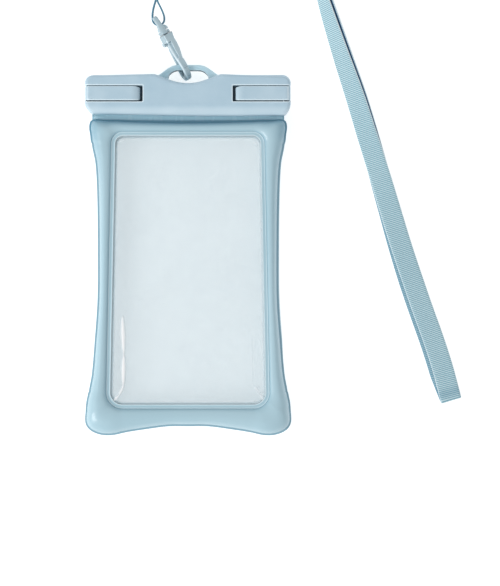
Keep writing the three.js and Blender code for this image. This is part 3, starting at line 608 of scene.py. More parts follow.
def look_at(thing, target):
    thing.rotation_euler = (Vector(target) - thing.location).to_track_quat("-Z", "Y").to_euler()


def softbox(name, place, target, side, watts, colour=(1, 1, 1)):
    light = bpy.data.lights.new(name, "AREA")
    light.shape = "SQUARE"
    light.size = side
    light.energy = watts
    light.color = colour
    made = bpy.data.objects.new(name, light)
    bpy.context.scene.collection.objects.link(made)
    made.location = place
    look_at(made, target)


scene = bpy.context.scene
scene.view_settings.view_transform = "Standard"
scene.view_settings.look = "None"
world = bpy.data.worlds.new("studio")
scene.world = world
world.use_nodes = True
world.node_tree.nodes["Background"].inputs[0].default_value = (0.96, 0.98, 1.0, 1.0)
world.node_tree.nodes["Background"].inputs[1].default_value = 0.6
FLOOR_HALF = 1500
FLOOR_HEIGHT = -0.4
CAMERA_PLACE = (0.0347, -0.0238, 0.9231)
MIDDLE = (*CAMERA_PLACE[:2], 0.01)
softbox("key light", (-1.0, -0.5, 0.8), MIDDLE, 0.6, 10.5)
softbox("fill light", (0.35, 0.75, 1.1), MIDDLE, 0.9, 1.6)


def floor():
    def make(bench):
        tone = bench.noise(bench.place(), 6.0, 2.0)
        return {"Base Color": bench.mixed(tone * 0.2, (0.62, 0.62, 0.62, 1), (0.64, 0.64, 0.64, 1))}

    glow = {"Emission_Color": (1, 1, 1, 1), "Emission_Strength": 0.66}
    material = finish("pale floor", make, Roughness=0.9, **glow)
    corners = ((-1, -1), (1, -1), (1, 1), (-1, 1))
    points = [(FLOOR_HALF * x, FLOOR_HALF * y, FLOOR_HEIGHT) for x, y in corners]
    piece("floor", points, [(0, 1, 2, 3)], material)


floor()

camera_data = bpy.data.cameras.new("camera")
camera_data.type = "PERSP"
camera_data.lens = 100.0
camera_data.sensor_fit = "VERTICAL"
camera_data.sensor_height = 36.0
camera_data.clip_start = 0.01
camera = bpy.data.objects.new("camera", camera_data)
scene.collection.objects.link(camera)
camera.location = CAMERA_PLACE
scene.camera = camera


# Lanyard webbing


def turned(degrees, axis):
    return Matrix.Rotation(math.radians(degrees), 3, axis)


hook_turn = turned(HOOK_LEAN, "Z") @ turned(HOOK_RISE, "X")
hook_place = Vector((HOOK_X, EYE_BAR_Y, EYE_HEIGHT))
ring_turn = hook_turn @ turned(-RING_TURN, "Y")


def on_ring(x, y, z=0.0):
    """A point of the swivel ring's own frame, in the object's frame."""
    return hook_place + hook_turn @ Vector((0, 0, POST_HEIGHT)) + ring_turn @ Vector((x, y, z))


def curve_through(stops, step):
    """Points a step apart along a smooth curve through the stops, and each one's place among the stops."""
    points = [Vector(s) for s in stops]
    first = points[0] * 2 - points[1]
    last = points[-1] * 2 - points[-2]
    padded = [first, *points, last]
    found = []
    for i in range(len(points) - 1):
        p0, p1, p2, p3 = padded[i : i + 4]
        d0, d1, d2 = (math.sqrt((b - a).length) for a, b in ((p0, p1), (p1, p2), (p2, p3)))
        m1 = ((p1 - p0) / d0 - (p2 - p0) / (d0 + d1) + (p2 - p1) / d1) * d1
        m2 = ((p2 - p1) / d1 - (p3 - p1) / (d1 + d2) + (p3 - p2) / d2) * d1
        count = max(1, round((p2 - p1).length / step))
        for k in range(count + (i == len(points) - 2)):
            t = k / count
            a = 2 * p1 - 2 * p2 + m1 + m2
            b = 3 * p2 - 3 * p1 - 2 * m1 - m2
            found.append((((a * t + b) * t + m1) * t + p1, i + t))
    return found


def band_route(route, step):
    """Middle line of the band along a route, with the direction across the band at each point."""
    tilts = [math.radians(stop[2]) for stop in route]
    stops = [
        (x, y, STRAP_WIDTH / 2 * math.sin(tilt) + WEBBING_HALF * math.cos(tilt) + WEBBING_CLEARANCE + lift)
        for (x, y, _, lift), tilt in zip(route, tilts)
    ]
    line = curve_through(stops, step)
    found = []
    for i, (point, place) in enumerate(line):
        ahead = line[min(i + 1, len(line) - 1)][0] - line[max(i - 1, 0)][0]
        n = min(int(place), len(route) - 2)
        tilt = tilts[n] + (tilts[n + 1] - tilts[n]) * (place - n)
        level = UP.cross(ahead).normalized()
        found.append((point, level * math.cos(tilt) + UP * math.sin(tilt)))
    return found


def one_layer(stations, offsets, fold, slips=None):
    """One layer's line: up one side of the middle line, round the fold at its start, down the other."""
    sides = []
    for side, sign in enumerate((1, -1)):
        line = []
        for i, ((point, across), offset) in enumerate(zip(stations, offsets)):
            ahead = stations[min(i + 1, len(stations) - 1)][0] - stations[max(i - 1, 0)][0]
            thick = across.cross(ahead).normalized()
            slip = slips[i][side] if slips else 0.0
            line.append((point + thick * (sign * offset) + across * slip, across))
        sides.append(line)
    return list(reversed(sides[0])) + fold + sides[1]


def band(name, line, width, thickness):
    """A closed band with rounded edges along a line of points and their directions across it."""
    profile = []
    half, round_off = width / 2, thickness / 2
    edge_steps = 4
    for k in range(edge_steps + 1):
        turn = math.pi / 2 - math.pi * k / edge_steps
        profile.append((half - round_off + round_off * math.cos(turn), round_off * math.sin(turn)))
    across_steps = 8
    for k in range(1, across_steps):
        profile.append((half - round_off - (width - thickness) * k / across_steps, -round_off))
    for k in range(edge_steps + 1):
        turn = -math.pi / 2 - math.pi * k / edge_steps
        profile.append((-half + round_off + round_off * math.cos(turn), round_off * math.sin(turn)))
    for k in range(1, across_steps):
        profile.append((-half + round_off + (width - thickness) * k / across_steps, round_off))
    points = []
    data = {key: [] for key in ("across", "along", "face_side", "painted_edge_shade", "inner")}
    length = 0.0
    for i, (point, across) in enumerate(line):
        before = line[max(i - 1, 0)][0]
        after = line[min(i + 1, len(line) - 1)][0]
        along = (after - before).normalized()
        level = (across - along * across.dot(along)).normalized()
        thick = level.cross(along).normalized()
        length += (point - before).length
        for a, b in profile:
            points.append(point + level * a + thick * b)
            flat = 1.0 if abs(a) < half - round_off * 0.5 else 0.35
            # the fourth value marks the band's edges, which get painted shade
            values = (a, length, flat, abs(a) > half - round_off * 0.8, b > 0)
            for key, value in zip(data, values):
                data[key].append(value)
    made = piece(name, points, skin(len(line), len(profile)), WEBBING)
    for key, values in data.items():
        paint(made, key, values)
    face_out(made)
    return made


def new_tree(name, sizes):
    """A geometry tree whose named inputs are its sizes and a material."""
    tree = bpy.data.node_groups.new(name, "GeometryNodeTree")
    kinds = {"Geometry": "NodeSocketGeometry", "Material": "NodeSocketMaterial"}
    tree.interface.new_socket("Geometry", in_out="OUTPUT", socket_type=kinds["Geometry"])
    for label in ("Geometry", *sizes, "Material"):
        kind = kinds.get(label, "NodeSocketFloat")
        tree.interface.new_socket(label, in_out="INPUT", socket_type=kind)
    bench = Bench(tree)
    source = tree.nodes.new("NodeGroupInput")
    return bench, {s.name: Wire(bench, s) for s in source.outputs if s.name}


def close_tree(bench, geometry, material):
    """Ends a tree in Realize Instances and Set Material."""
    real = bench.node("GeometryNodeRealizeInstances", {}, {0: geometry})
    done = bench.node("GeometryNodeSetMaterial", {}, {0: real, 2: material})
    output = bench.tree.nodes.new("NodeGroupOutput")
    bench.join(done, output.inputs[0])
    return bench.tree


def grown(thing, tree, values):
    """Runs a geometry tree on a piece with its inputs set, and keeps the plain mesh."""
    modifier = thing.modifiers.new("growth", "NODES")
    modifier.node_group = tree
    for socket in tree.interface.items_tree:
        if socket.in_out == "INPUT" and socket.name in values:
            modifier[socket.identifier] = values[socket.name]
    return finished(thing)


def named(bench, name, kind="FLOAT"):
    return bench.node("GeometryNodeInputNamedAttribute", {"data_type": kind}, {0: name})


def rib_tree():
    """Raises the ribs that cross the band, one each pitch along it."""
    bench, given = new_tree("webbing ribs", ("Pitch", "Rib Height"))
    phase = named(bench, "along") / given["Pitch"] * (2 * math.pi)
    rib = bench.sum("SQRT", bench.sum("COSINE", phase) * 0.5 + 0.5)
    height = rib * given["Rib Height"] * named(bench, "face_side")
    offset = bench.vectors("SCALE", {0: bench.node("GeometryNodeInputNormal"), 3: height})
    moved = bench.node("GeometryNodeSetPosition", {}, {0: given["Geometry"], 3: offset})
    settings = {"data_type": "FLOAT", "domain": "POINT"}
    kept = bench.node("GeometryNodeStoreNamedAttribute", settings, {0: moved, 2: "rib", 3: rib})
    return close_tree(bench, kept, given["Material"])


def stitch_tree():
    """Lays one short thread on each point of a row, along the row's own direction."""
    bench, given = new_tree("stitches", ("Thread Radius", "Stitch Length"))
    thread = bench.node("GeometryNodeMeshUVSphere", {}, {0: 8, 1: 6, 2: given["Thread Radius"]})
    slender = given["Stitch Length"] / given["Thread Radius"] * 0.5
    stretch = bench.node("ShaderNodeCombineXYZ", {}, {0: 1.0, 1: 1.0, 2: slender})
    thread = bench.node("GeometryNodeTransform", {}, {0: thread, 3: stretch})
    way = named(bench, "way", "FLOAT_VECTOR")
    turn = bench.node("FunctionNodeAlignRotationToVector", {"axis": "Z"}, {2: way})
    laid = bench.node("GeometryNodeInstanceOnPoints", {}, {0: given["Geometry"], 2: thread, 5: turn})
    return close_tree(bench, laid, given["Material"])


RIBS = rib_tree()
STITCHES = stitch_tree()
STATION = RIB_PITCH / 5


def even(line, step):
    """The same line with its points an even step apart."""
    lengths = running_lengths(line)
    count = round(lengths[-1] / step)
    found = []
    n = 0
    for k in range(count + 1):
        want = lengths[-1] * k / count
        while n < len(line) - 2 and lengths[n + 1] < want:
            n += 1
        share = (want - lengths[n]) / max(lengths[n + 1] - lengths[n], 1e-9)
        point = line[n][0].lerp(line[n + 1][0], share)
        across = line[n][1].lerp(line[n + 1][1], share).normalized()
        found.append((point, across))
    return found


def webbing(name, line):
    made = band(name, even(line, STATION), STRAP_WIDTH - 0.1, STRAP_LAYER - 0.16)
    grown(made, RIBS, {"Pitch": RIB_PITCH, "Rib Height": RIB_HEIGHT * MM, "Material": WEBBING})
    smooth_shaded(made, 60)
    return made


def stitched(name, rows):
    """Threads along rows of (point, way) in millimetres."""
    made = piece(name, [point for point, _ in rows], [])
    way = made.data.attributes.new("way", "FLOAT_VECTOR", "POINT")
    way.data.foreach_set("vector", [c for _, direction in rows for c in direction])
    sizes = {"Thread Radius": THREAD_RADIUS * MM, "Stitch Length": STITCH_LENGTH * MM}
    grown(made, STITCHES, {**sizes, "Material": THREAD})
    made.data.shade_smooth()
    return made


def box_stitches(stations, offset, start, length):
    """Stitches round a box with a cross in it, on both faces of the doubled band."""
    spread = STRAP_WIDTH / 2 - STITCH_INSET
    corners = [(start, -spread), (start + length, -spread), (start + length, spread), (start, spread)]
    lines = list(zip(corners, corners[1:] + corners[:1]))
    lines += [(corners[0], corners[2]), (corners[1], corners[3])]
    lengths = running_lengths(stations)

    def on_face(along, aside, sign):
        n = max(i for i, value in enumerate(lengths[:-1]) if value <= along)
        share = (along - lengths[n]) / (lengths[n + 1] - lengths[n])
        point = stations[n][0].lerp(stations[n + 1][0], share)
        across = stations[n][1].lerp(stations[n + 1][1], share).normalized()
        thick = across.cross(stations[n + 1][0] - stations[n][0]).normalized()
        return point + across * aside + thick * (sign * offset)

    rows = []
    for (a0, b0), (a1, b1) in lines:
        count = max(2, round(math.hypot(a1 - a0, b1 - b0) / STITCH_PITCH))
        for k in range(count):
            mid, near = (k + 0.5) / count, (k + 0.6) / count
            for sign in (1, -1):
                here = on_face(a0 + (a1 - a0) * mid, b0 + (b1 - b0) * mid, sign)
                there = on_face(a0 + (a1 - a0) * near, b0 + (b1 - b0) * near, sign)
                rows.append((here, (there - here).normalized()))
    return rows


def aside(reach):
    """How far the loop's middle line stands to the side of the ring's bar, at a distance up the loop."""
    share = unit(reach / LOOP_CLOSED)
    return -LOOP_ASIDE * (1 - share) ** 1.5


def near_webbing():
    """From round the swivel ring's bar up to where the long run starts."""
    lean = math.radians(LOOP_LEAN)
    out = ring_turn @ Vector((math.sin(lean), math.cos(lean), 0))
    bar = ring_turn @ Vector((0, 0, 1))
    centre = on_ring(0, RING_BAR_Y)
    lead = band_route(LEAD_ROUTE, 1.0)
    side = bar.cross(out).normalized()
    stations = [(centre + out * u + side * aside(u), bar) for u in np.arange(-LOOP_DROP, LOOP_REACH, 0.4)]
    join = curve_through([stations[-2][0], stations[-1][0], lead[0][0], lead[1][0]], 0.6)
    between = [point for point, place in join if 1 < place < 2]
    for i, point in enumerate(between):
        stations.append((point, bar.lerp(lead[0][1], (i + 1) / (len(between) + 1)).normalized()))
    stations += lead
    offsets = []
    for point, _ in stations:
        reach = (point - centre).dot(out)
        share = unit(reach / LOOP_CLOSED) if (point - centre).length < 20 else 1.0
        offsets.append(LAYER_OFFSET + (LOOP_RADIUS - LAYER_OFFSET) * (1 - share**1.6) ** 1.1)
    bottom = centre - out * LOOP_DROP + side * aside(-LOOP_DROP)
    fold = []
    for k in range(1, LOOP_STEPS):
        turn = math.pi * k / LOOP_STEPS
        beside = bottom + side * (LOOP_RADIUS * math.cos(turn))
        fold.append((beside - out * (LOOP_RADIUS * math.sin(turn)), bar))
    made = webbing("near_webbing", one_layer(stations, offsets, fold))
    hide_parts("strap_loop", "strap_lead")
    path = [bottom - out * LOOP_RADIUS] + [point for point, _ in stations]
    lead_stations = stations[-len(lead):]
    box = box_stitches(lead_stations, WEBBING_HALF, STITCH_START, STITCH_BOX)
    threads = stitched("near_stitches", box)
    return made, path, threads, lead_stations


# How far each layer is slipped to its side, along the run from the folded end
UPPER_SLIP = ((0, 15, 70, 130, 160), (1.0, 1.6, 1.5, 0.9, 0.3))
LOWER_SLIP = ((0, 15, 70, 110, 150, 180), (1.0, -0.4, -0.4, 0.3, 0.8, 1.0))


def far_webbing():
    """The long run, two layers folded at its far end, one slipped a little past the other."""
    stations = band_route(RUN_ROUTE, 1.5)
    stations.reverse()
    offsets, slips = [], []
    run = 0.0
    for i, (point, across) in enumerate(stations):
        run += (point - stations[max(i - 1, 0)][0]).length
        stood_up = unit((across.z - 0.3) / 0.5)
        offsets.append(LAYER_OFFSET + 0.36 * stood_up + 0.5 * max(1 - run / 16, 0) ** 1.5)
        slips.append((
            np.interp(run, *UPPER_SLIP),
            np.interp(run, *LOWER_SLIP),
        ))
    end, across = stations[0]
    ahead = (stations[1][0] - end).normalized()
    thick = across.cross(ahead).normalized()
    radius = offsets[0]
    fold = []
    for k in range(1, FOLD_STEPS):
        turn = math.pi * k / FOLD_STEPS
        round_end = thick * (radius * math.cos(turn)) - ahead * (radius * math.sin(turn))
        fold.append((end + round_end + across * slips[0][0], across))
    made = webbing("far_webbing", one_layer(stations, offsets, fold, slips))
    # Painted light: shade on the under layer's edge, in the gap between the layers, on the under layer and
    # near the fold; highlights on the edges that face up
    along, across, edge, inner = (painted(made, n) for n in ("along", "across", "painted_edge_shade", "inner"))
    middle = along.max() / 2
    under = (along > middle).astype(float)
    paint(made, "painted_edge_shade", edge * under * (across < 0) * 0.6)
    paint(made, "painted_edge_highlight", edge * np.maximum(1 - under, across > 0))
    paint(made, "layer_gap_shade", under * inner * (1 - edge) * units((across - 3.6) / 0.5))
    from_end = np.abs(along - middle)
    beneath = under * np.where((edge > 0) & (across > 0), 0.1, 0.45) * units((150 - from_end) / 50)
    paint(made, "shade", beneath + 0.3 * hump(from_end - 6.5, 2.6))
    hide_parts("strap_run")
    path = [point for point, _ in reversed(stations)]
    return made, path


def length_of(path):
    return sum((b - a).length for a, b in zip(path, path[1:]))


near_band, near_path, near_threads, near_stations = near_webbing()
far_band, far_path = far_webbing()


# Hook, swivel ring and gate


def hook_piece(node, name, voxel, soften, material, change):
    """A recast solid, shaped in the hook's own frame, whose y runs along it from the eye's bar."""
    turn = np.array(hook_turn)
    place = np.array(hook_place)

    def shape(points):
        return change((points - place) @ turn) @ turn.T + place

    return recast(node, name, voxel, soften, material, shape)


def rolled(local, degrees):
    """Turns points about the swivel's axis."""
    turn = math.radians(degrees)
    x, z = local[:, 0].copy(), local[:, 2] - POST_HEIGHT
    local[:, 0] = x * math.cos(turn) + z * math.sin(turn)
    local[:, 2] = z * math.cos(turn) - x * math.sin(turn) + POST_HEIGHT
    return local


# Along the hook: the leg's middle, its breadth, how far its right side stands out, its left edge, where a
# highlight is painted
LEG_MIDDLE = ((0, 5, 10, 16), (0.28, 0.08, -0.07, -0.05))
LEG_BREADTH = ((0, 5, 10, 16), (0.99, 1.06, 1.17, 1.22))
LEG_RIGHT = ((6, 10.7, 13.9, 17, 19, 20.6), (0, 0.3, 0, -0.5, -0.2, 0))
LEG_LEFT = ((0, 5, 10, 17.8), (-0.9, -1.24, -1.6, -1.7))
RING_BREADTH = ((23.0, 23.6, 26, 28), (0.06, 0.4, 0.3, 0))
EDGE_ROUND = 0.8
COLLAR_RAMP = 1.4


def flattened(x, y, z):
    """Heights with the leg's flat face run up over the cone and the collar."""
    half = HOOK_WIDTH / 2
    share = np.clip((y - TAPER_END) / (COLLAR_START - TAPER_END), 0.02, 1)
    from_middle = np.where(x > 0, np.clip(x - (1 - share) * half, 0, None), -x * share)
    round_part = np.sqrt(units(1 - (from_middle / (COLLAR_RADIUS * share)) ** 2))
    base = (1 - share) * LEG_SHOULDER + share * POST_HEIGHT
    surface = base + COLLAR_RADIUS * share * round_part
    right = np.interp(y, (TAPER_END, COLLAR_START), (half, COLLAR_RADIUS))
    face = LEG_FACE - 1.1 * units((x - right + EDGE_ROUND) / EDGE_ROUND) ** 2
    near_surface = units((z - base) / np.maximum(surface - base, 0.2))
    on_collar = units((y - COLLAR_FOOT) / COLLAR_RAMP)
    covered = units((x - 0.1 + 2.4 * on_collar) / 0.4)
    in_reach = units((y - 5.5) / 0.8) * units((SWIVEL_GAP - y) / 0.1)
    raised = z + np.clip(face - surface, 0, None) * near_surface * covered * in_reach
    height = np.maximum(z, np.minimum(raised, face))
    left = LEG_FACE - 0.8 * units((-1.2 - x) / 0.7) ** 2
    on_leg = (z > 4.2) & (y > 0) & (y < 16) & (x < half + 0.1)
    return np.where(on_leg, np.minimum(left, np.where(y < TAPER_END, LEG_FACE, face)), height)


def hook_shape(local):
    """Gives the hook a flat face, a waisted leg, short cheeks and a domed post head, and rolls it."""
    x, y, z = (local[:, i].copy() for i in range(3))
    local[:, 2] = flattened(x, y, z)
    leg = units((z - 2.0) / 0.4) * units((15.6 - y) / 0.8)
    middle = np.interp(y, *LEG_MIDDLE)
    broad = np.interp(y, *LEG_BREADTH)
    local[:, 0] = np.where((np.abs(x) < 2.0) & (x < 0.2), x + leg * (middle + x * (broad - 1)), x)
    local[:, 0] += np.interp(y, *LEG_RIGHT) * np.clip(x - 0.8, 0, 1)
    on_collar = units((y - COLLAR_FOOT) / COLLAR_RAMP)
    local[:, 0] -= 0.5 * np.clip(-x - 1, 0, 2.4) / 2.4 * on_collar * (y < 21.1)
    cheek = units((0.2 - z) / 1.2) * units((CHEEK_END - y) / 0.4) * (y > 13)
    local[:, 1] = y + cheek * np.clip(CHEEK_END - y, 0, 3) * 0.42
    local[:, 1] += 0.18 * units((y - 20.85) / 0.1) * (y < 21.12)
    head = units((y - POST_HEAD_START + 0.05) / 0.1)
    local[:, 0] *= 1 + HEAD_GROWTH * head
    local[:, 2] = POST_HEIGHT + (local[:, 2] - POST_HEIGHT) * (1 + HEAD_GROWTH * head)
    local[:, 1] += (y - POST_HEAD_START) * 0.35 * head
    return rolled(local, HOOK_ROLL)


def gate_shape(local):
    """Leaves the gate room to turn between its cheeks, and rolls it with the hook."""
    local[:, 0] *= 1 - GATE_NARROWING * units((local[:, 1] - 12.0) / 1.0)
    return rolled(local, HOOK_ROLL)


def pin_shape(local):
    return rolled(local, HOOK_ROLL)


def ring_shape(local):
    """Broadens the ring's base to the collar and tilts the ring within the play of its post."""
    x, y = local[:, 0].copy(), local[:, 1].copy()
    broader = np.interp(y, *RING_BREADTH)
    local[:, 0] = np.where(x < 0, x * (1 + broader), x)
    rolled(local, RING_ROLL)
    tilt = math.radians(RING_TILT)
    x, up = local[:, 0].copy(), y - RING_BASE
    local[:, 0] = x * math.cos(tilt) - up * math.sin(tilt)
    local[:, 1] = RING_BASE + up * math.cos(tilt) + x * math.sin(tilt) * units((y - 23.5) / 1.5)
    return local


def paint_gap(thing):
    """Marks painted shade on the ends that face each other in the swivel's gap, and a painted highlight on
    the leg's left edge.
    """
    local = (points_of(thing.data) / MM - np.array(hook_place)) @ np.array(hook_turn)
    x, y, z = local.T
    paint(thing, "painted_shade", 0.85 * hump(y - SWIVEL_GAP, 0.28, 4))
    left = np.interp(y, *LEG_LEFT)
    paint(thing, "painted_highlight", 0.95 * hump(x - left - 0.4, 0.42) * (z > 2.5) * (y < 17.5))


hook_body = hook_piece("hook_body", "snap_hook", 0.17, 2, HOOK_PLASTIC, hook_shape)
hook_gate = hook_piece("hook_gate", "gate_leg", 0.12, 3, HOOK_PLASTIC, gate_shape)
gate_pin = hook_piece("gate_pin", "gate_leg_pin", 0.1, 1, HINGE_WIRE, pin_shape)
ring = hook_piece("swivel_ring", "strap_ring", 0.17, 2, HOOK_PLASTIC, ring_shape)
for thing, body in ((hook_body, "hook"), (hook_gate, "gate"), (gate_pin, "hook"), (ring, "swivel")):
    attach(thing, body)
paint_gap(hook_body)
paint_gap(ring)

near_stations[16][0] * MM
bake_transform(near_band)
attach(near_threads, "hook")
near_path[0] * MM
length_of(near_path) * MM
[p * MM for p in near_path]
far_path[0] * MM
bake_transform(far_band)
far_path[0] * MM
length_of(far_path) * MM
[p * MM for p in far_path]


# Air filled frame, whose width follows the window round


def through(knots, at):
    """A smooth curve through knots of (place, value), level at both ends."""
    n = max(i for i in range(len(knots) - 1) if knots[i][0] <= at or i == 0)

    def slope(k):
        if k < 1 or k >= len(knots) - 1:
            return 0.0
        return (knots[k + 1][1] - knots[k - 1][1]) / (knots[k + 1][0] - knots[k - 1][0])

    span = knots[n + 1][0] - knots[n][0]
    t = (at - knots[n][0]) / span
    return (
        knots[n][1] * (2 * t**3 - 3 * t**2 + 1)
        + slope(n) * span * (t**3 - 2 * t**2 + t)
        + knots[n + 1][1] * (3 * t**2 - 2 * t**3)
        + slope(n + 1) * span * (t**3 - t**2)
    )


# The frame's width at places round the window: 0 top edge, 1 shoulder, 2 side, 3 foot corner, 4 foot
FRAME_WIDTHS = (
    (0, 8.3), (1.0, 9.1), (1.17, 9.8), (1.33, 11.3), (1.45, 13.5), (1.54, 16.5), (1.61, 18.2), (1.7, 17.4),
    (1.83, 15.2), (2.0, 13.5), (2.08, 11.2), (2.22, 9.8), (2.45, 8.8), (2.63, 8.5), (2.8, 9.7), (2.93, 10.9),
    (3.0, 12.4), (3.12, 13.7), (3.31, 16.8), (3.45, 20.6), (3.54, 21.5), (3.68, 20.5), (3.85, 18.2),
    (4.0, 16.3), (4.33, 14.3), (4.69, 12.6), (5.0, 12.5),
)
MOUTH_FULL = 1.78
MOUTH_END = 1.96
MOUTH_GAP = 0.9


def window_round(steps):
    """Stations round the window's edge: point, outward direction and place, right half then left."""
    lean = math.atan2(WINDOW_HALF_BOTTOM - WINDOW_HALF_TOP, WINDOW_TOP - WINDOW_BOTTOM)
    shoulder = Vector((WINDOW_HALF_TOP - WINDOW_TOP_RADIUS, WINDOW_TOP - WINDOW_TOP_RADIUS))
    foot = Vector((WINDOW_HALF_BOTTOM - WINDOW_BOTTOM_RADIUS, WINDOW_BOTTOM + WINDOW_BOTTOM_RADIUS))

    def toward(turn):
        return Vector((math.cos(turn), math.sin(turn)))

    side = toward(lean)
    side_top = shoulder + side * WINDOW_TOP_RADIUS
    side_foot = foot + side * WINDOW_BOTTOM_RADIUS

    def stretch(number, t):
        if number == 0:
            return Vector((shoulder.x * t, WINDOW_TOP)), Vector((0, 1))
        if number == 1:
            way = toward(math.pi / 2 + (lean - math.pi / 2) * t)
            return shoulder + way * WINDOW_TOP_RADIUS, way
        if number == 2:
            return side_top.lerp(side_foot, t), side
        if number == 3:
            way = toward(lean - (lean + math.pi / 2) * t)
            return foot + way * WINDOW_BOTTOM_RADIUS, way
        return Vector((foot.x * (1 - t), WINDOW_BOTTOM)), Vector((0, -1))

    right = []
    for number, count in enumerate(steps):
        right += [(*stretch(number, k / count), number + k / count) for k in range(count)]
    right.append((*stretch(4, 1.0), 5.0))
    left = [(Vector((-p.x, p.y)), Vector((-w.x, w.y)), at) for p, w, at in reversed(right[1:-1])]
    return right + left


FRAME_SIZES = {
    "Flange Width": FLANGE_WIDTH,
    "Flange Height": FLANGE_HEIGHT,
    "Flange Thickness": FLANGE_THICKNESS,
    "Ridge Height": 0.2,
    "Ridge Width": 0.26,
    "Crest Place": 0.42,
    "Base Height": 6.0,
    "Height per Width": 0.16,
    "Most Height": 8.5,
    "Seam Width": SEAM_WIDTH,
    "Seam Thickness": SEAM_THICKNESS,
    "Seam Height": SEAM_HEIGHT,
    "Side": 1.0,
}
RIDGE_PLACES = (0.1, 0.86)


def frame_tree():
    """Sweeps the frame's section round the window: flange with its weld ridges, tube and seam strip."""
    bench, given = new_tree("air frame", FRAME_SIZES)
    station = named(bench, "station")
    width, apart, bulge = (named(bench, name) for name in ("width", "apart", "bulge"))
    flange = station.limited()
    rise_turn = (station - 1).limited() * (math.pi / 2)
    fall = (station - 2).limited()
    fall_turn = fall * (math.pi / 2)
    tube = width - given["Flange Width"] - given["Seam Width"]
    height = given["Base Height"] + given["Height per Width"] * tube
    crest = bench.sum("MINIMUM", height, given["Most Height"])
    rise = given["Flange Width"] + given["Crest Place"] * tube
    across = flange * given["Flange Width"]
    across = across + (rise - given["Flange Width"]) * (1 - bench.sum("COSINE", rise_turn))
    across = across + (width - given["Seam Width"] - rise) * bench.sum("SINE", fall_turn)
    across = across + bulge * bench.sum("SINE", fall * math.pi)
    across = across + given["Seam Width"] * (station - 3).limited()
    seam = apart + given["Seam Thickness"]
    ridges = None
    for share in RIDGE_PLACES:
        off = (flange - share) * given["Flange Width"] / given["Ridge Width"]
        ridge = (1 - off * off).limited() * given["Ridge Height"]
        ridges = ridge if ridges is None else ridges + ridge
    on_tube = (station - 1).limited()
    height = given["Flange Height"] + ridges * (1 - (on_tube * 8).limited())
    height = height + (crest - given["Flange Height"]) * bench.sum("SINE", rise_turn)
    height = height + (seam - crest) * (1 - bench.sum("COSINE", fall_turn))
    at_base = named(bench, "at_base")
    height = height * (1 - at_base) + apart * at_base
    height = height - given["Flange Thickness"] * named(bench, "underside")
    z = given["Seam Height"] + height * given["Side"]
    edge = named(bench, "window_edge", "FLOAT_VECTOR")
    out = named(bench, "outward", "FLOAT_VECTOR")
    moved = bench.vectors("SCALE", {0: out, 3: across})
    moved = bench.vectors("ADD", {0: edge, 1: moved})
    lift = bench.node("ShaderNodeCombineXYZ", {}, {2: z})
    moved = bench.vectors("ADD", {0: moved, 1: lift})
    scaled = bench.vectors("SCALE", {0: moved, 3: MM})
    shaped = bench.node("GeometryNodeSetPosition", {}, {0: given["Geometry"], 2: scaled})
    return close_tree(bench, shaped, given["Material"])


AIR_FRAME = frame_tree()
FRAME_STEPS = (44, 34, 90, 44, 50)
SECTION_STEPS = (26, 12, 20)
BACK_BULGE = 2.2


def section():
    """Places along the frame's section: (station, at base, on the underside of the flange)."""
    flange, rise, fall = SECTION_STEPS
    found = [(k / flange, 0, 0) for k in range(flange + 1)]
    found += [(1 + k / rise, 0, 0) for k in range(1, rise + 1)]
    found += [(2 + k / fall, 0, 0) for k in range(1, fall + 1)]
    found += [(3.5, 0, 0), (4, 0, 0), (4, 1, 0), (1, 1, 0), (1, 0, 1), (0, 0, 1)]
    return found


def air_frame(name, side, bulge):
    places = section()
    stations = window_round(FRAME_STEPS)
    shape_keys = ("station", "at_base", "underside", "width", "apart", "bulge")
    data = {key: [] for key in (*shape_keys, "crown", "foot", "ridge", "seam_shade")}
    edges, ways = [], []
    for point, way, at in stations:
        width = through(FRAME_WIDTHS, at)
        apart = unit((MOUTH_END - at) / (MOUTH_END - MOUTH_FULL)) * MOUTH_GAP
        swell = bulge * unit((at - 1.2) / 0.6) * unit((3.3 - at) / 0.5)
        mouth = unit((MOUTH_FULL + 0.4 - at) / 0.4)
        for station, at_base, underside in places:
            # Masks of painted light: a highlight on the tube's crown, shade at its foot, highlights on the
            # weld ridges, shade on the seam strip and on the mouth's flank
            crown = math.sin(unit((station - 1) / 2) * math.pi)
            foot = hump(station - 1.06, 0.2) + 0.25 * hump(station - 1.4, 0.3)
            lines = hump(station - 0.08, 0.13) + 0.75 * hump(station - 0.84, 0.1)
            beyond = unit((station - 2.75) / 0.35)
            mouth_flank_shade = 0.85 * unit((station - 1.55) / 1.45) ** 1.8
            on_flange = station <= 1
            ridge_highlight = lines if on_flange else 0.0
            shade = 0.0 if on_flange else max(beyond * 0.35, mouth * mouth_flank_shade)
            values = (station, at_base, underside, width, apart, swell, crown, foot, ridge_highlight, shade)
            for key, value in zip(data, values):
                data[key].append(value)
            edges += [point.x, point.y, 0]
            ways += [way.x, way.y, 0]
    count = len(places)
    made = piece(name, [(0, 0, 0)] * (len(stations) * count), skin(len(stations), count, closed=True))
    for key, values in data.items():
        paint(made, key, values)
    for key, values in (("window_edge", edges), ("outward", ways)):
        made.data.attributes.new(key, "FLOAT_VECTOR", "POINT").data.foreach_set("vector", values)
    grown(made, AIR_FRAME, {**FRAME_SIZES, "Side": side, "Material": AIR_FILM})
    face_out(made)
    smooth_shaded(made, 50)
    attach(made, "pouch")
    return made


front_frame = air_frame("front_air_frame", 1.0, 0.0)
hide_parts("front_ring")
back_frame = air_frame("back_air_frame", -1.0, BACK_BULGE)
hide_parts("back_ring")


# Clear windows

FILM_OVERLAP = 2.1
FILM_THICKNESS = 0.3
FILM_FACE = FLANGE_HEIGHT - FLANGE_THICKNESS - 0.2


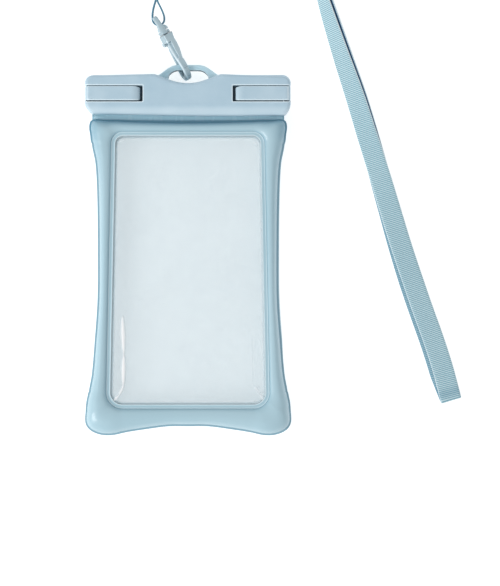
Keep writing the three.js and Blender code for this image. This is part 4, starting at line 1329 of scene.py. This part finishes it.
def window_half(y):
    """Half the width of the film at a height on the window."""
    share = (WINDOW_TOP - y) / (WINDOW_TOP - WINDOW_BOTTOM)
    return WINDOW_HALF_TOP + (WINDOW_HALF_BOTTOM - WINDOW_HALF_TOP) * share + FILM_OVERLAP


def inside_corner(x, y):
    """How far a point is inside the film's rounded outline, in millimetres."""
    half = window_half(y)
    top, bottom = WINDOW_TOP + FILM_OVERLAP, WINDOW_BOTTOM - FILM_OVERLAP
    radius = (WINDOW_TOP_RADIUS if y > 0 else WINDOW_BOTTOM_RADIUS) + FILM_OVERLAP
    dx = half - abs(x)
    dy = min(top - y, y - bottom)
    if dx < radius and dy < radius:
        return radius - math.hypot(radius - dx, radius - dy)
    return min(dx, dy)


def ridge(x, y, line, width):
    """1 on a line of points, fading to 0 over a width."""
    best = 1e9
    for (x0, y0), (x1, y1) in zip(line, line[1:]):
        dx, dy = x1 - x0, y1 - y0
        t = unit(((x - x0) * dx + (y - y0) * dy) / (dx * dx + dy * dy))
        reach = width * (0.35 + 0.65 * math.sin(math.pi * t))
        best = min(best, math.hypot(x - x0 - dx * t, y - y0 - dy * t) / reach)
    return max(0.0, 1 - best * best)


# Folds of the film, which lift it and carry painted white glints: points along each, its half width and its
# strength
FOLDS_AND_GLINTS = (
    (((-36.6, -37), (-35.9, -58), (-36.2, -76)), 1.5, 1.0),
    (((-36.2, -76), (-38.6, -81), (-41.4, -84)), 1.2, 0.8),
    (((37.4, -76), (40.3, -80), (42.0, -84)), 1.1, 0.6),
    (((36.4, 61), (39.2, 58.6)), 0.9, 0.5),
    (((-39.0, 60.6), (-34.8, 62.2)), 0.8, 0.5),
    (((35.6, -48), (36.2, -62), (36.0, -72)), 0.8, 0.25),
)


def window_film(name, node, side, strength):
    columns, rows = 130, 210
    points, fold, border = [], [], []
    top, bottom = WINDOW_TOP + FILM_OVERLAP, WINDOW_BOTTOM - FILM_OVERLAP
    for r in range(rows + 1):
        y = bottom + (top - bottom) * r / rows
        for c in range(columns + 1):
            u = -1 + 2 * c / columns
            x = window_half(y) * u
            depth = inside_corner(x, y)
            if depth < 0:
                pull = 1 + depth / math.hypot(x, y)
                x, y_in = x * pull, y * pull
                depth = 0.0
            else:
                y_in = y
            free = unit((depth - FILM_OVERLAP) / 14)
            free = free * free * (3 - 2 * free)
            fold_and_glint = sum(ridge(x, y_in, line, width) * height for line, width, height in FOLDS_AND_GLINTS) * strength
            wave = 0.35 * math.sin(x * 0.11 + 0.6) * math.sin(y_in * 0.045 + 1.1)
            wave += 0.2 * math.sin(x * 0.05 - y_in * 0.07)
            lift = -0.5 * free + wave * free + 0.5 * fold_and_glint * unit((depth - FILM_OVERLAP) / 2)
            points.append((x, y_in, SEAM_HEIGHT + side * (FILM_FACE + lift)))
            # painted white glints follow the folds
            fold.append(min(fold_and_glint, 1))
            border.append(unit(1 - abs(depth - FILM_OVERLAP) / 1.1))
    wide = columns + 1
    faces = [
        (r * wide + c, r * wide + c + 1, (r + 1) * wide + c + 1, (r + 1) * wide + c)
        for r in range(rows)
        for c in range(columns)
    ]
    if side < 0:
        faces = [tuple(reversed(face)) for face in faces]
    made = piece(name, points, faces, CLEAR_FILM)
    paint(made, "fold", fold)
    paint(made, "border", border)
    wall = made.modifiers.new("wall", "SOLIDIFY")
    wall.thickness = FILM_THICKNESS * MM
    wall.offset = 0
    finished(made)
    smooth_shaded(made, 60)
    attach(made, "pouch")
    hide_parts(node)


window_film("front_clear_film", "front_window", 1, 1.0)
window_film("back_clear_film", "back_window", -1, 0.15)


# Neck

FILM_GAP = 0.12
FLARE_TOP = 75.4
CREASE_FOOT = 72.4


def neck():
    """The mouth of the pouch: two films that part towards the frame, welded along both sides."""
    columns = 150
    levels = [*np.linspace(NECK_BOTTOM, WELD_TOP, 28), *np.linspace(WELD_TOP + 0.1, NECK_TOP, 20)]
    points, foot, weld = [], [], []
    for y in levels:
        half = NECK_HALF_LOWER + 0.9 if y < WELD_TOP + 0.05 else NECK_HALF_UPPER
        flare = max(0.0, (FLARE_TOP - y) / 4.0)
        open_out = 0.6 + 0.26 * min(flare, 1) ** 1.5
        for side in (1, -1):
            span = range(columns + 1) if side > 0 else range(columns, -1, -1)
            for c in span:
                u = -1 + 2 * c / columns
                welded = min((1 - abs(u)) * half / 1.6, 1)
                crease = 0.09 * math.sin(u * 61 + 0.8 * math.sin(y * 0.5)) * math.sin(u * 17 + y * 0.21)
                wrinkle = 0.12 * hump(u * half - 50, 4) * hump(y - 73.5, 2.5)
                wrinkle *= math.sin(y * 4 + u * 90)
                ripple = (crease + wrinkle) * min(flare + 0.25, 1) * 0.7
                height = FILM_GAP + (open_out - FILM_GAP + ripple) * math.sqrt(welded)
                if y > BAR_BOTTOM - 0.4 and abs(u) * half > NECK_HALF_UPPER - 0.6:
                    height = 0.1
                points.append((u * half, y, SEAM_HEIGHT + side * height))
                # mask for painted shade in the crease at the frame's top
                foot.append(hump(y - CREASE_FOOT, 1.1))
                weld.append(unit((1 - (1 - abs(u)) * half) / 0.5))
    made = piece("neck_film", points, skin(len(levels), 2 * columns + 2), NECK_FILM)
    paint(made, "foot", foot)
    paint(made, "weld", weld)
    face_out(made)
    smooth_shaded(made, 50)
    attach(made, "pouch")
    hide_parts("neck_sleeve")


neck()


# Clamp


# How far the bar's long edges stand above (+) or below (-) straight, along the bar
LOWER_BOW = ((-57, -44, -21, 7, 29, 54, 57), (0.4, 0.35, -0.15, -0.65, -0.65, -0.3, -0.25))
UPPER_BOW = (
    (-57, -44, -30, -20, 17, 30, 40, 50, 57),
    (-0.7, -0.6, -0.25, 0, 0, -0.5, -0.8, -1.2, -1.3),
)
LOWER_BAND = 5.4
LOWER_BAND_SLOPE = 1.25
END_ROUND = 3.5
UPPER_EDGE = 92.5
BAND_FACE = 12.5


def front_shape(points):
    """Slopes the front jaw's lower band, bows its long edges and narrows the recesses' open ends."""
    x, y, z = (points[:, i].copy() for i in range(3))
    face = units((z - BAND_FACE) / 3.5)
    points[:, 2] -= LOWER_BAND_SLOPE * units((BAR_BOTTOM + LOWER_BAND - y) / LOWER_BAND) ** 1.25 * face
    end = units((np.abs(x) - BAR_HALF + END_ROUND) / END_ROUND)
    points[:, 2] -= 0.7 * (1 - np.sqrt(units(1 - end**2))) * face
    at_end = units((np.abs(x) - BAR_HALF + 1.3) / 0.6)
    under = units(1 - np.abs(y - RECESS_BOTTOM) / 0.9)
    over = units(1 - np.abs(y - RECESS_TOP) / 0.6)
    points[:, 1] += at_end * (0.75 * under - 0.2 * over)
    lower = units((BAR_BOTTOM + 6 - y) / 6)
    upper = units((y - UPPER_EDGE) / 5.5) * units((z - 10.9) / 2)
    points[:, 1] += lower * np.interp(x, *LOWER_BOW) + upper * np.interp(x, *UPPER_BOW)
    return points


def paint_recesses(thing):
    """Marks painted highlights on the recesses' rims and on the lower band, and painted shade in their dark
    insides.
    """
    x, y, z = (points_of(thing.data) / MM).T
    beside = np.maximum(RECESS_BOTTOM - y, y - RECESS_TOP)
    before = BAR_HALF - RECESS_LENGTH - np.abs(x)
    outside = np.hypot(np.maximum(beside, 0), np.maximum(before, 0))
    inside = np.minimum(-beside, -before)
    painted_highlight = hump(outside - 0.2, 0.34) * (outside > 0) * units((z - BAR_FACE + 1.1) / 0.5)
    # painted highlight on the lower band, which faces the light
    band = 0.3 * units((BAR_BOTTOM + 4.8 - y) / 2.2) * units((z - BAND_FACE) / 1.5)
    paint(thing, "painted_highlight", np.maximum(0.8 * painted_highlight, band))
    below = units((RECESS_TOP - 0.25 - y) / 0.2)
    paint(thing, "painted_shade", units(inside / 0.25 + 1) * units((BAR_FACE - 0.9 - z) / 0.8) * below)


def latch_shape(points):
    """Broadens the latch at its lower edge, and rounds the upper corner of its free end."""
    x, y = points[:, 0].copy(), points[:, 1].copy()
    points[:, 1] -= LATCH_LIP * units(LATCH_BOTTOM + 1 - y)
    from_tip = np.abs(x) - (BAR_HALF - LATCH_LENGTH)
    points[:, 1] -= 0.9 * units(1 - from_tip / 4) ** 2 * units((y - LATCH_TOP + 2.5) / 2.5)
    return points


def paint_latch(thing):
    """Marks painted highlights on the latch's long edges and outer end, painted shade on the left latch's
    free end and a painted highlight on the right one's.
    """
    x, y, z = (points_of(thing.data) / MM).T
    top = units((z - BAR_FACE + 1.4) / 0.5)
    lower = hump(y - LATCH_BOTTOM + 0.1, 0.3)
    upper = 0.5 * hump(LATCH_TOP - 0.25 - y, 0.26)
    end = hump(np.abs(x) - BAR_HALF + 1.5, 0.36) * np.where(x > 0, 1.0, 0.5)
    nose = units(1 - (np.abs(x) - BAR_HALF + LATCH_LENGTH) / 5)
    lit = 0.35 * nose * (x > 0)
    paint(thing, "painted_highlight", units(np.maximum((lower + upper + end) * top, lit)) * 0.85)
    paint(thing, "painted_shade", 0.22 * nose * (x < 0))


def paint_eye(thing):
    """Marks painted shade on the eye hole's upper wall and a painted highlight on its wall on the right."""
    x, y, z = (points_of(thing.data) / MM).T
    normals = values_of(thing.data.vertices, "normal", 3)
    low, high = EYE_HOLE_REACH
    in_hole = (np.abs(x) < EYE_HOLE_HALF + 0.6) & (y > low) & (y < high)
    paint(thing, "painted_shade", units((-normals[:, 1] - 0.3) / 0.4) * in_hole)
    paint(thing, "painted_highlight", units((-normals[:, 0] - 0.3) / 0.4) * in_hole * (x > 8) * 0.7)


front_jaw = recast("front_jaw", "front_clamp_jaw", 0.32, 2, CLAMP_PLASTIC, front_shape)
back_jaw = recast("back_jaw", "back_clamp_jaw", 0.34, 3, LIGHTENED_CLAMP_PLASTIC)
left_latch = recast("latch_left", "left_flip_latch", 0.2, 3, LATCH_PLASTIC, latch_shape)
right_latch = recast("latch_right", "right_flip_latch", 0.2, 3, LATCH_PLASTIC, latch_shape)
paint_recesses(front_jaw)
paint_eye(back_jaw)
paint_latch(left_latch)
paint_latch(right_latch)
for thing, body, slot in (
    (front_jaw, "clamp_jaw", "clamp_plastic"),
    (back_jaw, "pouch", "clamp_plastic"),
    (left_latch, "left_latch", "latch_plastic"),
    (right_latch, "right_latch", "latch_plastic"),
):
    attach(thing, body)

for node, material in (
    ("back_seal", SILICONE),
    ("front_seal", SILICONE),
    ("hinge_pin_left", HINGE_WIRE),
    ("hinge_pin_right", HINGE_WIRE),
    ("latch_pin_left", LATCH_WIRE),
    ("latch_pin_right", LATCH_WIRE),
):
    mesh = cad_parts[node].data
    if not mesh.materials:
        mesh.materials.append(material)
    for i in range(len(mesh.materials)):
        mesh.materials[i] = material
